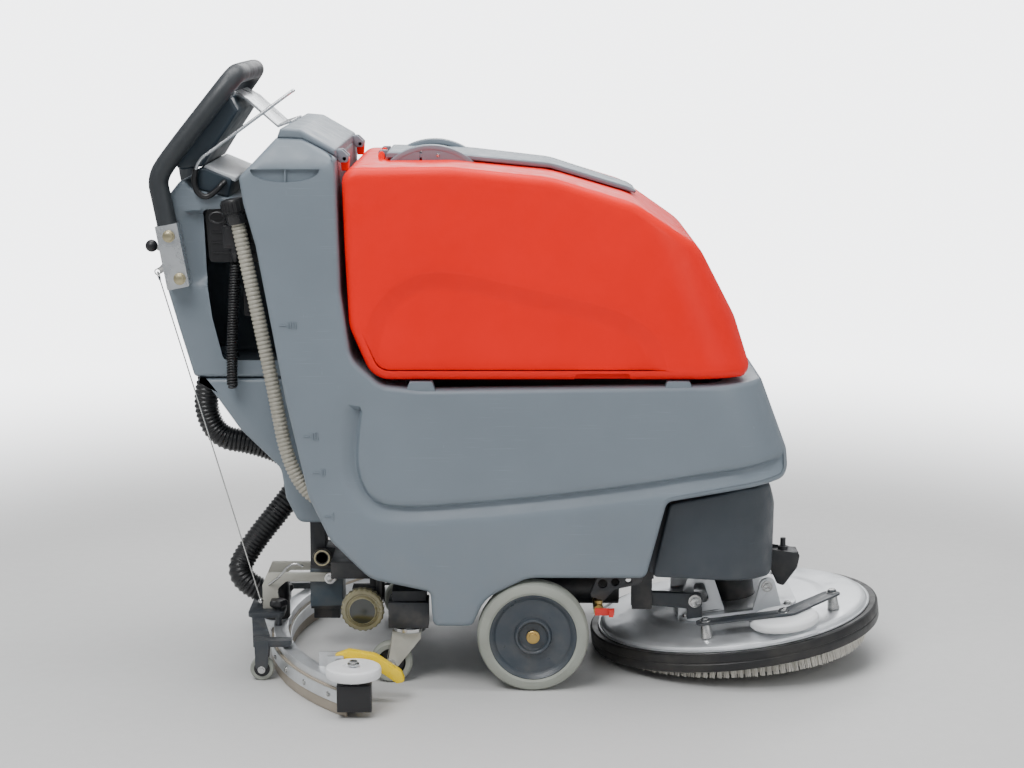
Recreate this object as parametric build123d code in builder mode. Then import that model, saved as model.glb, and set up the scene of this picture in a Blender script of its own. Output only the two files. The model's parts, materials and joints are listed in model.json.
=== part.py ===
from build123d import *
import os
from math import cos, sin, tan, radians, degrees, atan2, hypot, sqrt, pi

os.makedirs("parts", exist_ok=True)

# Walk-behind scrubber drier with one disc brush. Millimetres.
# +X is forward, +Y the machine's left, +Z up. Z = 0 is the floor the wheels stand on.

# ---- driving dimensions -------------------------------------------------------------
BODY_HALF = 260.0          # half width of the two big tanks
BODY_WALL = 9.0            # wall of the moulded tanks
PANEL_STEP = 4.0           # depth of the pressed side panels
NOSE_R = 120.0             # plan radius of the nose corners
NOSE_SLOPE = 0.37          # how far the nose leans back per unit of height
NOSE_X = 470.0             # nose at height NOSE_Z
NOSE_Z = 400.0
SEAT_Z = 540.0             # top of the lower tank where the upper tank rests
SEAT_GAP = 8.0             # shadow gap between the two tanks
NECK_HALF = 150.0          # half width of the rear neck
NECK_SPLIT = 534.0         # height of the joint between neck cover and lower tank

WHEEL_R = 97.0
WHEEL_X = 19.5
TYRE_W = 46.0
ARCH_GAP = 8.0             # room between the tyre and the wheel arch
ARCH_TOP = 2.0 * WHEEL_R + ARCH_GAP
ARCH_BACK = WHEEL_X - WHEEL_R - 8.5
GEAR_TOP = ARCH_TOP - 4.0  # underside of the floor over the running gear
RAIL_H = 30.0
RAIL_LOW = GEAR_TOP - RAIL_H
TYRE_WALL = 21.0           # radial thickness of the tyre
WHEEL_OUT = 262.0          # outer face of the drive wheels
AXLE_R = 10.0
RUN_CLEAR = 0.05           # radial clearance of every running fit
FACE_CLEAR = 1.0           # side clearance next to a turning face

CASTER_R = 37.0
CASTER_W = 24.0
CASTER_X = -197.0          # swivel axis
CASTER_TRAIL = 32.0
CASTER_Y = 200.0
CASTER_TOP = 104.0         # underside of the caster mounting
SWIVEL_R = 7.0
CASTER_PIN = 5.0

DECK_X = 391.0             # rim centre of the brush deck
DECK_Z = 79.0
DECK_TILT = 7.2            # nose-up tilt of the raised deck
DECK_R = 247.0             # radius of the metal cover
RING_STEP = 19.0           # how far the rubber ring stands out from the cover
RING_R = DECK_R + RING_STEP
RING_WALL = 8.0
RING_H = 34.0
BRUSH_TILT = 4.2           # the self-aligning brush hangs nearer to level
BRUSH_GAP = 4.0            # bristle tips inside the edge of the cover
BRUSH_R = DECK_R - BRUSH_GAP
BRUSH_TIP_Z = 18.3         # bristle tips under the deck centre
BRISTLE_L = 31.0
DRIVE_R = 12.0             # brush drive shaft
DECK_PIVOT_X = 215.0
DECK_PIVOT_Z = 128.0
DECK_PIVOT_R = 8.0

ARC_X = 110.0              # centre of the curved squeegee
ARC_R = 565.0              # radius of its rear blade
ARC_HALF = 44.5            # half angle of the blades
BLADE_T = 4.0
BLADE_GAP = 26.0           # between the two blades
BLADE_LOW = 1.0
BLADE_H = 44.0
SQ_PIVOT_X = -349.0
SQ_PIVOT_Z = 146.0
SQ_PIVOT_R = 6.0

HANDLE_R = 17.5
HANDLE_Y = 170.0
LEVER_X = -606.0
LEVER_Z = 742.0
LEVER_Y = -100.0
LEVER_PIN = 4.0

TILT_X = -300.0            # tank hinge line
TILT_Z = 921.0
TILT_PIN = 4.0
LID_X = -246.0             # lid hinge line
LID_Z = 919.0
LID_PIN = 3.0

HOSE_R = 23.0
DRAIN_R = 14.0
COIL_R = 10.0


# ---- helpers ------------------------------------------------------------------------
def draw(corners):
    """Closed outline of straight sides and tangent arcs; a corner is (a, b) or (a, b, radius)."""
    n = len(corners)
    spots = []
    for i in range(n):
        a = corners[i - 1]
        b = corners[i]
        c = corners[(i + 1) % n]
        r = b[2] if len(b) > 2 else 0.0
        ua = ((a[0] - b[0]), (a[1] - b[1]))
        uc = ((c[0] - b[0]), (c[1] - b[1]))
        la = hypot(*ua)
        lc = hypot(*uc)
        ua = (ua[0] / la, ua[1] / la)
        uc = (uc[0] / lc, uc[1] / lc)
        dot = max(-1.0, min(1.0, ua[0] * uc[0] + ua[1] * uc[1]))
        half = 0.5 * atan2(sqrt(1.0 - dot * dot), dot)
        if r <= 0.0 or half > radians(89.0):
            spots.append(((b[0], b[1]), None, (b[0], b[1])))
            continue
        reach = min(r / tan(half), 0.47 * la, 0.47 * lc)
        r = reach * tan(half)
        p = (b[0] + ua[0] * reach, b[1] + ua[1] * reach)
        q = (b[0] + uc[0] * reach, b[1] + uc[1] * reach)
        bis = (ua[0] + uc[0], ua[1] + uc[1])
        lb = hypot(*bis)
        far = r / sin(half) - r
        m = (b[0] + bis[0] / lb * far, b[1] + bis[1] / lb * far)
        spots.append((p, m, q))
    for i in range(n):
        p, m, q = spots[i]
        nxt = spots[(i + 1) % n][0]
        if m is not None:
            ThreePointArc(p, m, q)
        if hypot(nxt[0] - q[0], nxt[1] - q[1]) > 1e-6:
            Line(q, nxt)


def prism(corners, y0, y1, mode=Mode.ADD):
    """Side outline given in X and Z, run from y0 to y1."""
    with BuildSketch(Plane.XZ.offset(-y0)) as sk:
        with BuildLine():
            draw(corners)
        make_face()
    extrude(sk.sketch, amount=-(y1 - y0), mode=mode)


def plate(corners, z0, z1, mode=Mode.ADD):
    """Plan outline given in X and Y, run from z0 to z1."""
    with BuildSketch(Plane.XY.offset(z0)) as sk:
        with BuildLine():
            draw(corners)
        make_face()
    extrude(sk.sketch, amount=z1 - z0, mode=mode)


def block(x0, x1, y0, y1, z0, z1, mode=Mode.ADD):
    with Locations(((x0 + x1) / 2, (y0 + y1) / 2, (z0 + z1) / 2)):
        Box(x1 - x0, y1 - y0, z1 - z0, mode=mode)


def rod(p, axis, r, length, mode=Mode.ADD):
    """Cylinder that starts at p and runs along axis."""
    with Locations(Plane(origin=p, z_dir=axis)):
        Cylinder(r, length, align=(Align.CENTER, Align.CENTER, Align.MIN), mode=mode)


def turned(plane, points, mode=Mode.ADD):
    """Ring or disc turned about the plane's normal; points are (radius, height)."""
    side = Plane(origin=plane.origin, x_dir=plane.x_dir, z_dir=-plane.y_dir)
    with BuildSketch(side) as sk:
        with BuildLine():
            Polyline(*points, close=True)
        make_face()
    revolve(sk.sketch, axis=Axis(plane.origin, plane.z_dir), revolution_arc=360, mode=mode)


def band(r_in, r_out, half_deg, z0, z1, mode=Mode.ADD):
    """Curved bar of the squeegee, concave side forward."""
    a = radians(half_deg)

    def at(r, t):
        return (ARC_X - r * cos(t), r * sin(t))

    with BuildSketch(Plane.XY.offset(z0)) as sk:
        with BuildLine():
            ThreePointArc(at(r_out, -a), at(r_out, 0), at(r_out, a))
            Line(at(r_out, a), at(r_in, a))
            ThreePointArc(at(r_in, a), at(r_in, 0), at(r_in, -a))
            Line(at(r_in, -a), at(r_out, -a))
        make_face()
    extrude(sk.sketch, amount=z1 - z0, mode=mode)


def on_arc(r, deg):
    return (ARC_X - r * cos(radians(deg)), r * sin(radians(deg)))


def bend_radii(points):
    """Largest even radius for each bend of a route."""
    radii = []
    for a, b, c in zip(points, points[1:], points[2:]):
        u = Vector(*b) - Vector(*a)
        v = Vector(*c) - Vector(*b)
        turn = radians(u.get_angle(v))
        radii.append(0.45 * min(u.length, v.length) / tan(turn / 2))
    return radii


def tube(points, r_out, r_in=0.0, mode=Mode.ADD):
    """Round tube along straight runs joined by tangent arcs."""
    with BuildLine() as route:
        FilletPolyline(*points, radius=bend_radii(points))
    start = Plane(origin=route.line @ 0, z_dir=route.line % 0)
    with BuildSketch(start) as sk:
        Circle(r_out)
        if r_in > 0.0:
            Circle(r_in, mode=Mode.SUBTRACT)
    sweep(sk.sketch, path=route.line, mode=mode)


def nose_prism(inset):
    """Slanted prism that rounds the nose of both tanks in plan."""
    front = NOSE_X + NOSE_SLOPE * NOSE_Z - inset
    half = BODY_HALF - inset
    r = NOSE_R - inset
    with BuildPart() as cutter:
        with BuildSketch(Plane.XY) as sk:
            with BuildLine():
                draw([(front, -half, r), (front, half, r), (-900.0, half), (-900.0, -half)])
            make_face()
        tall = 1100.0
        lean = hypot(1.0, NOSE_SLOPE)
        extrude(sk.sketch, amount=tall * lean, dir=(-NOSE_SLOPE, 0, 1))
    return cutter.part


# ---- side outlines (X, Z, corner radius) --------------------------------------------
BODY_SIDE = [
    (-312, 925, 8), (-369, 957, 6), (-411, 959, 4), (-456, 911, 4), (-474, 893, 8),
    (-467, 848, 20), (-448, 778, 20), (-403, 516, 60), (-366, 345, 70), (-330, 268, 60),
    (-262, 200, 50), (ARCH_BACK - 72, 177, 8), (ARCH_BACK - 68, 116, 10), (ARCH_BACK, 116, 10),
    (ARCH_BACK + 22, ARCH_TOP - 37, 60), (WHEEL_X - 9.5, ARCH_TOP, 60), (214, ARCH_TOP, 10), (249, 336, 12), (378, 359, 20), (462, 372, 22),
    (464, 412, 14), (416, SEAT_Z, 6), (-173, SEAT_Z - 8, 20), (-240, SEAT_Z, 30),
    (-290, SEAT_Z + 45, 50), (-306, SEAT_Z + 160, 60),
]
TANK_LOW = SEAT_Z + SEAT_GAP
TANK_SIDE = [
    (-304, 911, 10), (-300, TANK_LOW + 224, 60), (-294, TANK_LOW + 92, 60), (-254, TANK_LOW, 40),
    (398, TANK_LOW, 10), (366, 650, 90), (300, 775, 80), (190, 850, 90), (50, 893, 200),
    (-120, 911, 150),
]
PANEL_SIDE = [
    (-296, 520, 10), (-306, 400, 60), (-270, 316, 60), (-190, 302, 60), (205, 344, 60),
    (372, 384, 20), (480, 400), (480, 600), (-296, 600),
]
POCKET_SIDE = [
    (-288, 610, 6), (-250, 702, 40), (-180, 739, 40), (-60, 722, 100), (170, 676, 60),
    (235, 640, 40), (262, 560, 6), (-262, 560, 30),
]


def grown(corners, inset):
    """Face of a side outline moved inwards."""
    with BuildSketch(Plane.XZ) as sk:
        with BuildLine():
            draw(corners)
        make_face()
        if inset > 0.0:
            offset(amount=-inset, kind=Kind.INTERSECTION)
    return sk.sketch


def moulded(corners, inset):
    """Solid of a moulded tank, its walls moved inwards by inset."""
    with BuildPart() as body:
        extrude(grown(corners, inset), amount=BODY_HALF - inset, both=True)
        add(nose_prism(inset), mode=Mode.INTERSECT)
    return body.part


# ---- lower tank: the grey body, with its tall rear column ---------------------------
lower_outer = moulded(BODY_SIDE, 0.0)
lower_core = moulded(BODY_SIDE, BODY_WALL)

NECK_LOW = [
    (-574, NECK_SPLIT, 4), (-556, 531, 10), (-537, 504, 30), (-494, 442, 40), (-424, 372, 30),
    (-416, 318, 20), (-392, 274, 16), (-340, 274), (-380, NECK_SPLIT),
]

with BuildPart() as lower_tank:
    add(lower_outer)
    prism(NECK_LOW, -NECK_HALF, 20)
    add(lower_core, mode=Mode.SUBTRACT)
    # side panels pressed in
    prism(PANEL_SIDE, -BODY_HALF - 1, -BODY_HALF + PANEL_STEP, Mode.SUBTRACT)
    prism(PANEL_SIDE, BODY_HALF - PANEL_STEP, BODY_HALF + 1, Mode.SUBTRACT)
    # battery bay open at the top
    block(-205, 372, -232, 232, SEAT_Z - 40, SEAT_Z + 20, Mode.SUBTRACT)
    # running gear space under the floor
    block(-420, 242, -226, 226, 0, GEAR_TOP, Mode.SUBTRACT)
    block(ARCH_BACK - 68, ARCH_BACK, -226, 226, 0, ARCH_TOP + 8, Mode.SUBTRACT)
    # floor over the running gear
    block(-236, 206, -251, 251, GEAR_TOP, GEAR_TOP + 14)
    # seats for the upper tank along both sides
    for x in (-172, 266):
        for s in (-1, 1):
            block(x - 20, x + 20, s * 244 - 10, s * 244 + 10, SEAT_Z - 12, SEAT_Z + SEAT_GAP - 0.4)
lower_tank.part.label = "lower_tank"
export_step(lower_tank.part, "parts/lower_tank.step")

# ---- front skirt --------------------------------------------------------------------
SKIRT_SIDE = [(228, 190, 6), (446, 178, 10), (452, 300, 10), (437, 346), (378, 346, 20), (257, 322, 10)]
SKIRT_HALF = 205.0
SKIRT_WALL = 4.0

with BuildPart() as front_skirt:
    prism(SKIRT_SIDE, -SKIRT_HALF, SKIRT_HALF)
    plate([(120, -SKIRT_HALF), (452, -SKIRT_HALF, 110), (452, SKIRT_HALF, 110), (120, SKIRT_HALF)],
          100, 400, Mode.INTERSECT)
    inner = [(100, -SKIRT_HALF + SKIRT_WALL), (448, -SKIRT_HALF + SKIRT_WALL, 106),
             (448, SKIRT_HALF - SKIRT_WALL, 106), (100, SKIRT_HALF - SKIRT_WALL)]
    plate(inner, 100, 316, Mode.SUBTRACT)
front_skirt.part.label = "front_skirt"
export_step(front_skirt.part, "parts/front_skirt.step")

# ---- chassis ------------------------------------------------------------------------
RAIL_Y = 120.0
EYE_X = -363.0             # lashing eye beside the rear post
EYE_Z = 184.0
EYE_R = 10.0
EYE_WALL = 7.0
EYE_T = 7.0
EYE_STAND = 44.0
BRACKET_X = WHEEL_X + WHEEL_R + 1.5   # bracket just ahead of the right tyre
with BuildPart() as chassis_frame:
    for s in (-1, 1):
        # long rails
        block(-340, 236, s * RAIL_Y - 15, s * RAIL_Y + 15, RAIL_LOW, GEAR_TOP)
        # deck pivot ears
        block(DECK_PIVOT_X - 18, DECK_PIVOT_X + 18, s * RAIL_Y - 15, s * RAIL_Y - 9, 112, RAIL_LOW)
        block(DECK_PIVOT_X - 18, DECK_PIVOT_X + 18, s * RAIL_Y + 9, s * RAIL_Y + 15, 112, RAIL_LOW)
        rod((DECK_PIVOT_X, s * RAIL_Y - 15, DECK_PIVOT_Z), (0, 1, 0), DECK_PIVOT_R, 30)
        # axle plates
        block(WHEEL_X - 30, WHEEL_X + 30, s * RAIL_Y - 4, s * RAIL_Y + 4, 70, RAIL_LOW)
        rod((WHEEL_X, s * RAIL_Y - 5, WHEEL_R), (0, 1, 0), AXLE_R, 10, Mode.SUBTRACT)
        # caster mountings
        block(CASTER_X - 36, CASTER_X + 34, s * CASTER_Y - 26, s * CASTER_Y + 26, CASTER_TOP, 150)
        block(CASTER_X - 30, CASTER_X + 30, s * 168 - 48, s * 168 + 48, 150, RAIL_LOW)
    # cross members
    block(-340, -312, -105, 105, RAIL_LOW, GEAR_TOP)
    block(-60, -30, -105, 105, RAIL_LOW, GEAR_TOP)
    block(206, 236, -105, 105, RAIL_LOW, GEAR_TOP)
    # rear post and squeegee pivot block
    block(-386, -358, -30, 30, 150, 274)
    block(-386, -328, -34, 34, 84, 166)
    block(-358, -340, -30, 30, 150, GEAR_TOP)
    block(-382, -334, -20, 20, 62, 84)
    # squeegee pivot pin with its heads
    rod((SQ_PIVOT_X, -50, SQ_PIVOT_Z), (0, 1, 0), SQ_PIVOT_R, 100)
    for s in (-1, 1):
        rod((SQ_PIVOT_X, s * 46.5 - (3.5 if s < 0 else 0), SQ_PIVOT_Z), (0, 1, 0), 10, 3.5)
    # swivel sockets for the casters
    for s in (-1, 1):
        rod((CASTER_X, s * CASTER_Y, CASTER_TOP - 1), (0, 0, 1), SWIVEL_R + RUN_CLEAR, 40, Mode.SUBTRACT)
    # bolts that carry the filter and the valve bracket
    block(-300, -256, -166, -135, 120, 160)
    block(-270, -250, -150, -105, 160, RAIL_LOW + 8)
    # bracket beside the right drive wheel, with lightening holes
    x, z = BRACKET_X, GEAR_TOP
    prism([(x, z - 38, 6), (x + 14, z, 6), (x + 96, z, 6), (x + 88, z - 16, 10), (x + 42, z - 26, 8),
           (x + 26, z - 46, 4)], -222, -212)
    for a, b, r in ((23, 15, 8), (45, 12, 7), (68, 9, 5)):
        rod((x + a, -223, z - b), (0, 1, 0), r, 12, Mode.SUBTRACT)
    block(x + 22, x + 88, -212, -130, z - 8, z)
    # front bracket that the raised deck rests against
    for y in (-84, -44):
        prism([(430, 176), (424, 200, 4), (437, 212, 4), (503, 202, 6), (498, 176, 10), (474, 142, 5),
               (462, 146, 5), (448, 176, 10)], y - 2.5, y + 2.5)
    block(236, 500, -84, -44, 199, 204)
    block(216, 244, -84, -44, 190, GEAR_TOP + 6)
    rod((474, -64, 204), (0, 0, 1), 5, 22)
    rod((474, -64, 204), (0, 0, 1), 9, 7)
    # lifting eye on the rear post
    with BuildSketch(Plane.XZ.offset(EYE_STAND)) as eye:
        with Locations((EYE_X, EYE_Z)):
            Circle(EYE_R + EYE_WALL)
            Circle(EYE_R, mode=Mode.SUBTRACT)
    extrude(eye.sketch, amount=EYE_T)
    rod((EYE_X - EYE_R - EYE_WALL / 2, -EYE_STAND, EYE_Z), (0, 1, 0), EYE_WALL / 2, EYE_STAND - 30)
chassis_frame.part.label = "chassis_frame"
export_step(chassis_frame.part, "parts/chassis_frame.step")

# ---- drive unit ---------------------------------------------------------------------
with BuildPart() as transaxle:
    rod((WHEEL_X, -116 + 0.2, WHEEL_R), (0, 1, 0), 26, 231.6)
    rod((WHEEL_X, -45, WHEEL_R), (0, 1, 0), 52, 90)
    rod((WHEEL_X + 20, 0, 122), (1, 0, 0), 36, 140)
    # axle ends that carry the wheels
    rod((WHEEL_X, -WHEEL_OUT + 4, WHEEL_R), (0, 1, 0), AXLE_R, 2 * WHEEL_OUT - 8)
    for s in (-1, 1):
        rod((WHEEL_X, s * 170 - (0 if s > 0 else 30), WHEEL_R), (0, 1, 0), 20, 30)
transaxle.part.label = "transaxle"
export_step(transaxle.part, "parts/transaxle.step")

RIM_R = WHEEL_R - TYRE_WALL


def wheel_plane(s):
    """Plane at the middle of a drive wheel, its normal pointing outwards."""
    return Plane(origin=(WHEEL_X, s * (WHEEL_OUT - TYRE_W / 2), WHEEL_R), x_dir=(1, 0, 0), z_dir=(0, s, 0))


def tyre_profile():
    h = TYRE_W / 2
    return [(RIM_R, -h + 2), (RIM_R + 4, -h), (WHEEL_R - 9, -h), (WHEEL_R - 3, -h + 3), (WHEEL_R, -h + 9),
            (WHEEL_R, h - 9), (WHEEL_R - 3, h - 3), (WHEEL_R - 9, h), (RIM_R + 4, h), (RIM_R, h - 2)]


def hub_profile():
    h = TYRE_W / 2
    b = AXLE_R + RUN_CLEAR
    return [(b, -h + 1), (30, -h + 1), (30, -6), (RIM_R - 10, -6), (RIM_R - 6, -h + 4), (RIM_R, -h + 4),
            (RIM_R, h - 4), (RIM_R - 6, h - 3), (RIM_R - 12, h - 10), (32, h - 14), (29, h - 4), (24, h - 4),
            (22, h - 12), (b, h - 12)]


# shouldered bolts in the ends of the axle
with BuildPart() as wheel_bolts:
    for s in (-1, 1):
        rod((WHEEL_X, s * (WHEEL_OUT - 4), WHEEL_R), (0, s, 0), 12.5, 2)
        with BuildSketch(Plane(origin=(WHEEL_X, s * (WHEEL_OUT - 2), WHEEL_R), z_dir=(0, s, 0))):
            RegularPolygon(9, 6)
        extrude(amount=2)
wheel_bolts.part.label = "wheel_bolts"
export_step(wheel_bolts.part, "parts/wheel_bolts.step")

for name, s in (("right", -1), ("left", 1)):
    with BuildPart() as tyre:
        turned(wheel_plane(s), tyre_profile())
    tyre.part.label = "tyre_" + name
    export_step(tyre.part, "parts/tyre_" + name + ".step")

    with BuildPart() as hub:
        turned(wheel_plane(s), hub_profile())
    hub.part.label = "hub_" + name
    export_step(hub.part, "parts/hub_" + name + ".step")

    # ---- caster on the same side
    y = s * CASTER_Y
    wx = CASTER_X - CASTER_TRAIL
    cheek = CASTER_W / 2 + FACE_CLEAR
    with BuildPart() as caster_fork:
        rod((CASTER_X, y, CASTER_TOP - 1), (0, 0, 1), SWIVEL_R, 38)
        rod((CASTER_X, y, CASTER_TOP - 10), (0, 0, 1), 24, 9)
        block(CASTER_X - 30, CASTER_X + 20, y - cheek - 3, y + cheek + 3, 84, CASTER_TOP - 9)
        for t in (-1, 1):
            low = y + (cheek if t > 0 else -cheek - 3)
            prism([(CASTER_X - 30, 90), (CASTER_X + 20, 90), (CASTER_X + 20, 82), (wx + 11, 30, 9),
                   (wx - 11, 30, 9)], low, low + 3)
        rod((wx, y - cheek - 6, CASTER_R), (0, 1, 0), CASTER_PIN, 2 * cheek + 12)
        for t in (-1, 1):
            rod((wx, y + t * (cheek + 3), CASTER_R), (0, t, 0), 8, 3)
    caster_fork.part.label = "caster_fork_" + name
    export_step(caster_fork.part, "parts/caster_fork_" + name + ".step")

    with BuildPart() as caster_wheel:
        mid = Plane(origin=(wx, y, CASTER_R), x_dir=(1, 0, 0), z_dir=(0, s, 0))
        h = CASTER_W / 2
        b = CASTER_PIN + RUN_CLEAR
        turned(mid, [(b, -h), (12, -h), (14, -h + 5), (22, -h + 5), (25, -h), (CASTER_R - 4, -h),
                     (CASTER_R, -h + 5), (CASTER_R, h - 5), (CASTER_R - 4, h), (25, h), (22, h - 5),
                     (14, h - 5), (12, h), (b, h)])
    caster_wheel.part.label = "caster_wheel_" + name
    export_step(caster_wheel.part, "parts/caster_wheel_" + name + ".step")

# ---- batteries and suction motor ----------------------------------------------------
with BuildPart() as batteries:
    for s in (-1, 1):
        for x in (-180, 5):
            block(x, x + 178, s * 95 - 85, s * 95 + 85, GEAR_TOP + 14, 442)
            rod((x + 30, s * 95 - 50, 442), (0, 0, 1), 9, 14)
            rod((x + 148, s * 95 - 50, 442), (0, 0, 1), 9, 14)
batteries.part.label = "batteries"
export_step(batteries.part, "parts/batteries.step")

# ---- rear neck cover ----------------------------------------------------------------
NECK_SIDE = [
    (-607, 856, 12), (-625, 803, 30), (-615, 690, 60), (-596, 620, 60), (-572, NECK_SPLIT, 6),
    (-411, NECK_SPLIT, 2), (-453, 778, 10), (-472, 848, 8), (-506, 850, 4), (-570, 866, 4),
    (-584, 884, 8),
]
LEVER_SLOT = 9.0           # half width of the lever slot
with BuildPart() as neck_cover:
    extrude(grown(NECK_SIDE, 0), amount=NECK_HALF, both=True)
    extrude(grown(NECK_SIDE, 5), amount=NECK_HALF - 5, both=True, mode=Mode.SUBTRACT)
    # suction hose passes through the floor of the neck
    rod((-545, 65, NECK_SPLIT - 10), (0, 0, 1), HOSE_R, 30, Mode.SUBTRACT)
    # slot and bearing cheeks of the squeegee lever
    block(-660, -590, LEVER_Y - LEVER_SLOT, LEVER_Y + LEVER_SLOT, 698, 792, Mode.SUBTRACT)
    for s in (-1, 1):
        y = LEVER_Y + s * (LEVER_SLOT + 3)
        block(-618, -596, y - 3, y + 3, 728, 756)
    rod((LEVER_X, LEVER_Y - LEVER_SLOT - 4, LEVER_Z), (0, 1, 0), LEVER_PIN, 2 * LEVER_SLOT + 8)
neck_cover.part.label = "neck_cover"
export_step(neck_cover.part, "parts/neck_cover.step")

# ---- hood over the top of the column, with the hinge bosses of the upper tank --------
HINGE_Y = (-190.0, 190.0)
with BuildPart() as column_hood:
    prism([(-411, 960.2), (-405, 974, 6), (-372, 972, 8), (-314, 938, 3), (-312.5, 927.2), (-369, 958.2)],
          -236, 236)
    for y in HINGE_Y:
        for s in (-1, 1):
            y0 = y + s * 16 - 5
            block(-318, TILT_X, y0, y0 + 10, 929.5, 936)
            block(-310.6, TILT_X, y0, y0 + 10, 914.5, 932)
            rod((TILT_X, y0, TILT_Z), (0, 1, 0), 7.5, 10)
        rod((TILT_X, y - 21, TILT_Z), (0, 1, 0), TILT_PIN, 42)
column_hood.part.label = "column_hood"
export_step(column_hood.part, "parts/column_hood.step")

# ---- console ------------------------------------------------------------------------
CONSOLE_HALF = 146.0
CONSOLE_SIDE = [
    (-600, 912, 10), (-521, 1013, 10), (-500, 1024, 4), (-486, 998, 4), (-521, 946, 10),
    (-548, 903, 6), (-590, 896, 6),
]
FACE_DIR = (0.616, 0.788)
FACE = Plane(origin=(-560.5, 0, 962.5), x_dir=(0, 1, 0), z_dir=(-0.788, 0, 0.616))


def on_face(u, v, w=0.0):
    """Point on the operator's face: u to the left, v along the slope, w out of it."""
    p = FACE.origin + FACE.x_dir * u + FACE.y_dir * v + FACE.z_dir * w
    return (p.X, p.Y, p.Z)


OUT = (FACE.z_dir.X, FACE.z_dir.Y, FACE.z_dir.Z)
KNOB_PIN = 3.0
BUTTON_R = 8.0
KNOBS = {"speed_knob": (-62, 26, 16.0), "water_knob": (-104, -22, 12.0)}
with BuildPart() as console:
    extrude(grown(CONSOLE_SIDE, 0), amount=CONSOLE_HALF, both=True)
    with BuildSketch(Plane(origin=on_face(0, 0, -2), x_dir=FACE.x_dir, z_dir=FACE.z_dir)):
        RectangleRounded(264, 96, 10)
    extrude(amount=3.5)
    for u, v, r in KNOBS.values():
        rod(on_face(u, v, 0), OUT, KNOB_PIN, 20)
    rod(on_face(40, 20, -10), OUT, BUTTON_R + 0.2, 20, Mode.SUBTRACT)
console.part.label = "console"
export_step(console.part, "parts/console.step")

for name, (u, v, r) in KNOBS.items():
    with BuildPart() as knob:
        rod(on_face(u, v, 2.2), OUT, r, 11)
        rod(on_face(u, v, 13.2), OUT, r - 3, 5)
        rod(on_face(u, v, 0), OUT, KNOB_PIN + RUN_CLEAR, 40, Mode.SUBTRACT)
    knob.part.label = name
    export_step(knob.part, "parts/" + name + ".step")

with BuildPart() as start_button:
    rod(on_face(40, 20, -6), OUT, BUTTON_R, 11)
start_button.part.label = "start_button"
export_step(start_button.part, "parts/start_button.step")

with BuildPart() as switch_box:
    prism([(-566, 865.4), (-568, 890, 8), (-556, 901.5, 3), (-545, 901.5, 3), (-497, 882, 6),
           (-505, 850.2)], -148, 148)
switch_box.part.label = "switch_box"
export_step(switch_box.part, "parts/switch_box.step")

with BuildPart() as console_strap:
    prism([(-499.5, 1024.5), (-476, 1011, 3), (-424, 966, 2), (-400, 975), (-400, 979, 2), (-425, 971, 2),
           (-475, 1016, 4), (-498, 1029)], -90, 90)
console_strap.part.label = "console_strap"
export_step(console_strap.part, "parts/console_strap.step")

# ---- handle -------------------------------------------------------------------------
FOOT = (-609.0, 806.0)
BEND = (-624.0, 890.0)
TOP = (-488.0, 1061.0)
with BuildPart() as handle:
    route = [(FOOT[0], -HANDLE_Y, FOOT[1]), (BEND[0], -HANDLE_Y, BEND[1]), (TOP[0], -HANDLE_Y, TOP[1]),
             (TOP[0], HANDLE_Y, TOP[1]), (BEND[0], HANDLE_Y, BEND[1]), (FOOT[0], HANDLE_Y, FOOT[1])]
    with BuildLine() as way:
        FilletPolyline(*route, radius=[55, 75, 75, 55])
    with BuildSketch(Plane(origin=way.line @ 0, z_dir=way.line % 0)) as sk:
        Circle(HANDLE_R)
    sweep(sk.sketch, path=way.line)
handle.part.label = "handle"
export_step(handle.part, "parts/handle.step")

up = hypot(BEND[0] - FOOT[0], BEND[1] - FOOT[1])
ax = (BEND[0] - FOOT[0]) / up
az = (BEND[1] - FOOT[1]) / up
with BuildPart() as handle_brackets:
    for s in (-1, 1):
        y0 = NECK_HALF if s > 0 else -NECK_HALF - 36
        prism([(FOOT[0] + 19 * az, FOOT[1] - 19 * ax), (FOOT[0] - 19 * az, FOOT[1] + 19 * ax),
               (-609, 693, 3), (-571, 701, 3)], y0, y0 + 36)
        for x, z in ((-604, 787), (-587, 714)):
            rod((x, s * (NECK_HALF + 36), z), (0, s, 0), 6, 2.5)
handle_brackets.part.label = "handle_brackets"
export_step(handle_brackets.part, "parts/handle_brackets.step")

# ---- squeegee lever -----------------------------------------------------------------
BALL = (-648.1, 761.0)
EYE = (-639.0, 715.0)
with BuildPart() as lift_lever:
    prism([(LEVER_X + 9, LEVER_Z + 6, 5), (LEVER_X - 6, LEVER_Z + 9, 5), (-640, 764, 2), (-643, 756, 2),
           (-618, 744, 6), (-635, 724, 4), (EYE[0] - 7, EYE[1] + 3, 5), (EYE[0] - 2, EYE[1] - 8, 5),
           (EYE[0] + 8, EYE[1] - 2, 5), (LEVER_X + 8, LEVER_Z - 8, 5)], LEVER_Y - 3, LEVER_Y + 3)
    rod((LEVER_X, LEVER_Y - LEVER_SLOT + 1, LEVER_Z), (0, 1, 0), 9, 2 * LEVER_SLOT - 2)
    rod((LEVER_X, LEVER_Y - 20, LEVER_Z), (0, 1, 0), LEVER_PIN + RUN_CLEAR, 40, Mode.SUBTRACT)
    rod((EYE[0], LEVER_Y - 5, EYE[1]), (0, 1, 0), 4.2, 10, Mode.SUBTRACT)
lift_lever.part.label = "lift_lever"
export_step(lift_lever.part, "parts/lift_lever.step")

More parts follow.
